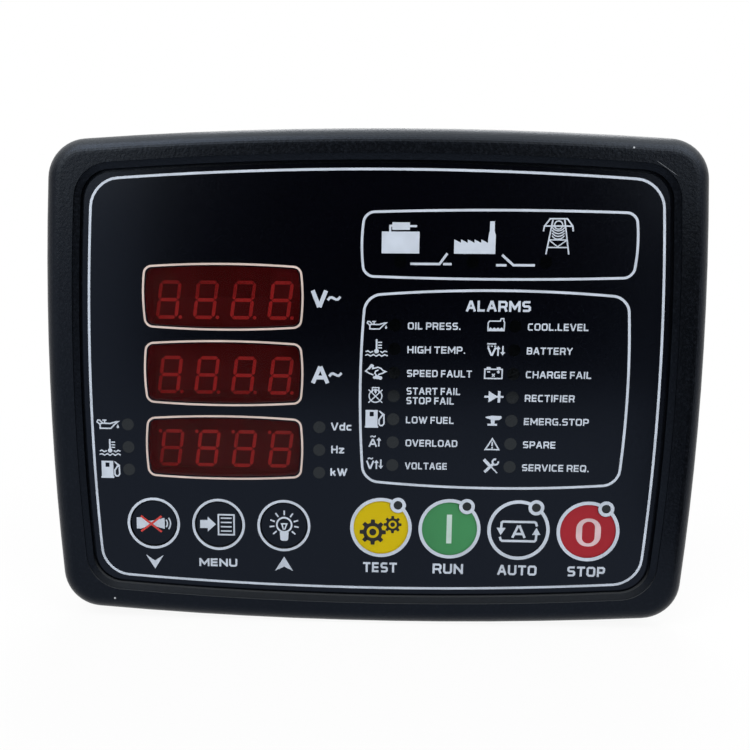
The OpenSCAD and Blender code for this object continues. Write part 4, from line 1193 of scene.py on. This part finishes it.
def table_finish():
    material, w, shader = begin("table_white")
    tone = blend(w, grain(w, 1.5), paint(246, 246, 246), paint(252, 252, 252))
    w.join(shader, {"Base Color": tone, "Roughness": 0.9, "Specular IOR Level": 0.0})
    glow = w.node("Emission", {}, {"Color": PLAIN, "Strength": 1.0})
    away = w.node("VectorMath", {"operation": "LENGTH"}, {0: place_of(w)}, output="Value")
    own = OWN_LIGHT + span(w, away, *SHADOW_REACH) * (1 - OWN_LIGHT)
    white = w.node("MixShader", {}, {0: looked_at(w) * own, 1: Socket(w, shader.outputs[0]), 2: glow})
    w.join(material.node_tree.nodes["Material Output"], {"Surface": white})
    return material


def flat(name, width, height, place, material):
    """A flat sheet of the studio, which is no part of the unit."""
    shape = bmesh.new()
    bmesh.ops.create_grid(shape, x_segments=1, y_segments=1, size=0.5,
                          matrix=place @ Matrix.Diagonal((width, height, 1, 1)))
    made = to_object(name, shape)
    made.data.materials.append(material)
    return made


flat("table", TABLE_SIZE, TABLE_SIZE, Matrix.Translation((0, 0, FLOOR - FLOOR_DROP)), table_finish())

world = bpy.data.worlds.new("studio")
bpy.context.scene.world = world
world.use_nodes = True
air = Wiring(world.node_tree)
level = AMBIENT + looked_at(air) * (1 - AMBIENT)
air.join(world.node_tree.nodes["Background"], {"Color": PLAIN, "Strength": level})
print("table at", round((FLOOR - FLOOR_DROP) / MM, 2), "mm")

# %% [markdown]
# A black panel is mostly reflection, so the light is planned by what the film mirrors. Its lower half
# mirrors the bright table in front of it and looks paler. Its upper half mirrors what stands behind the
# camera, so a dark card goes there, as a photographer would place one. A small card close to the right
# end darkens the flat band of the bezel on that side. Both cards are hidden from the camera and show only
# in reflections.

# %% Dark cards and lamps
BACK_CARD = {"x": 0.03, "y": -0.46, "width": 0.45, "height": 0.5, "turn": 0}
SIDE_CARD = {"x": 0.13, "y": -0.074, "width": 0.082, "height": 0.135, "turn": math.pi / 2}
card_black = moulded("card_black", (12, 12, 14), 2, 0.9, shine=0.0)


def dark_card(name, x, y, width, height, turn):
    """A black card that stands on the table, turned about its upright axis."""
    standing = Matrix.Translation((x, y, FLOOR + height / 2)) @ Matrix.Rotation(turn, 4, "Z") @ UPRIGHT
    card = flat(name, width, height, standing, card_black)
    card.visible_camera = False
    card.visible_diffuse = False
    card.visible_shadow = False


def softbox(name, place, size, watts):
    """A square area lamp that faces the middle of the panel."""
    light = bpy.data.lights.new(name, "AREA")
    light.size = size
    light.energy = watts
    made = add_object(name, light)
    made.location = place
    made.rotation_euler = Vector(place).to_track_quat("Z", "Y").to_euler()
    print(name, watts, "W at", place)
    return made


dark_card("card", **BACK_CARD)
dark_card("side_card", **SIDE_CARD)
softbox("key_light", (-0.45, -0.75, 0.95), size=0.7, watts=9)
softbox("fill_light", (0.7, -0.6, 0.8), size=0.7, watts=5)
softbox("rear_light", (0.1, 0.7, 0.9), size=0.8, watts=6)

# %% [markdown]
# Two low lamps beside the back card only draw highlights on the upper corners of the bezel. They are
# hidden from diffuse rays, so the ink and the keys keep their colours.

# %% Lamps for the gloss
WARM = (1.0, 0.88, 0.66)

for name, side, watts in (("left_gloss", -0.46, 2.8), ("right_gloss", 0.46, 2.0)):
    strip = softbox(name, (side, -0.68, 0.37), 0.4, watts)
    strip.data.color = WARM
    strip.visible_diffuse = False

# %% [markdown]
# The camera stands close in front of the panel, a little above its middle and left of it, and looks
# slightly down. Its place was fitted to the photograph from points with known places on the film. The
# picture was cropped off centre, which is what the lens shift stands for.

# %% Camera
CAMERA_AT = Vector((-4.13, -250.53, 37.92)) * MM
CAMERA_TURN = (81.823, -0.347, 2.36)
LENS = 38.4
CROP_SHIFT = 50 / 750

view = bpy.data.cameras.new("camera")
view.lens = LENS
view.shift_x = CROP_SHIFT
view.clip_start = 0.01
view.dof.use_dof = False
camera = add_object("camera", view)
camera.location = CAMERA_AT
camera.rotation_euler = [math.radians(turn) for turn in CAMERA_TURN]
bpy.context.scene.camera = camera
bpy.context.scene.view_settings.view_transform = "Standard"
print("camera", round((camera.location - Vector((0, FILM, 0))).length, 3), "m from the film")
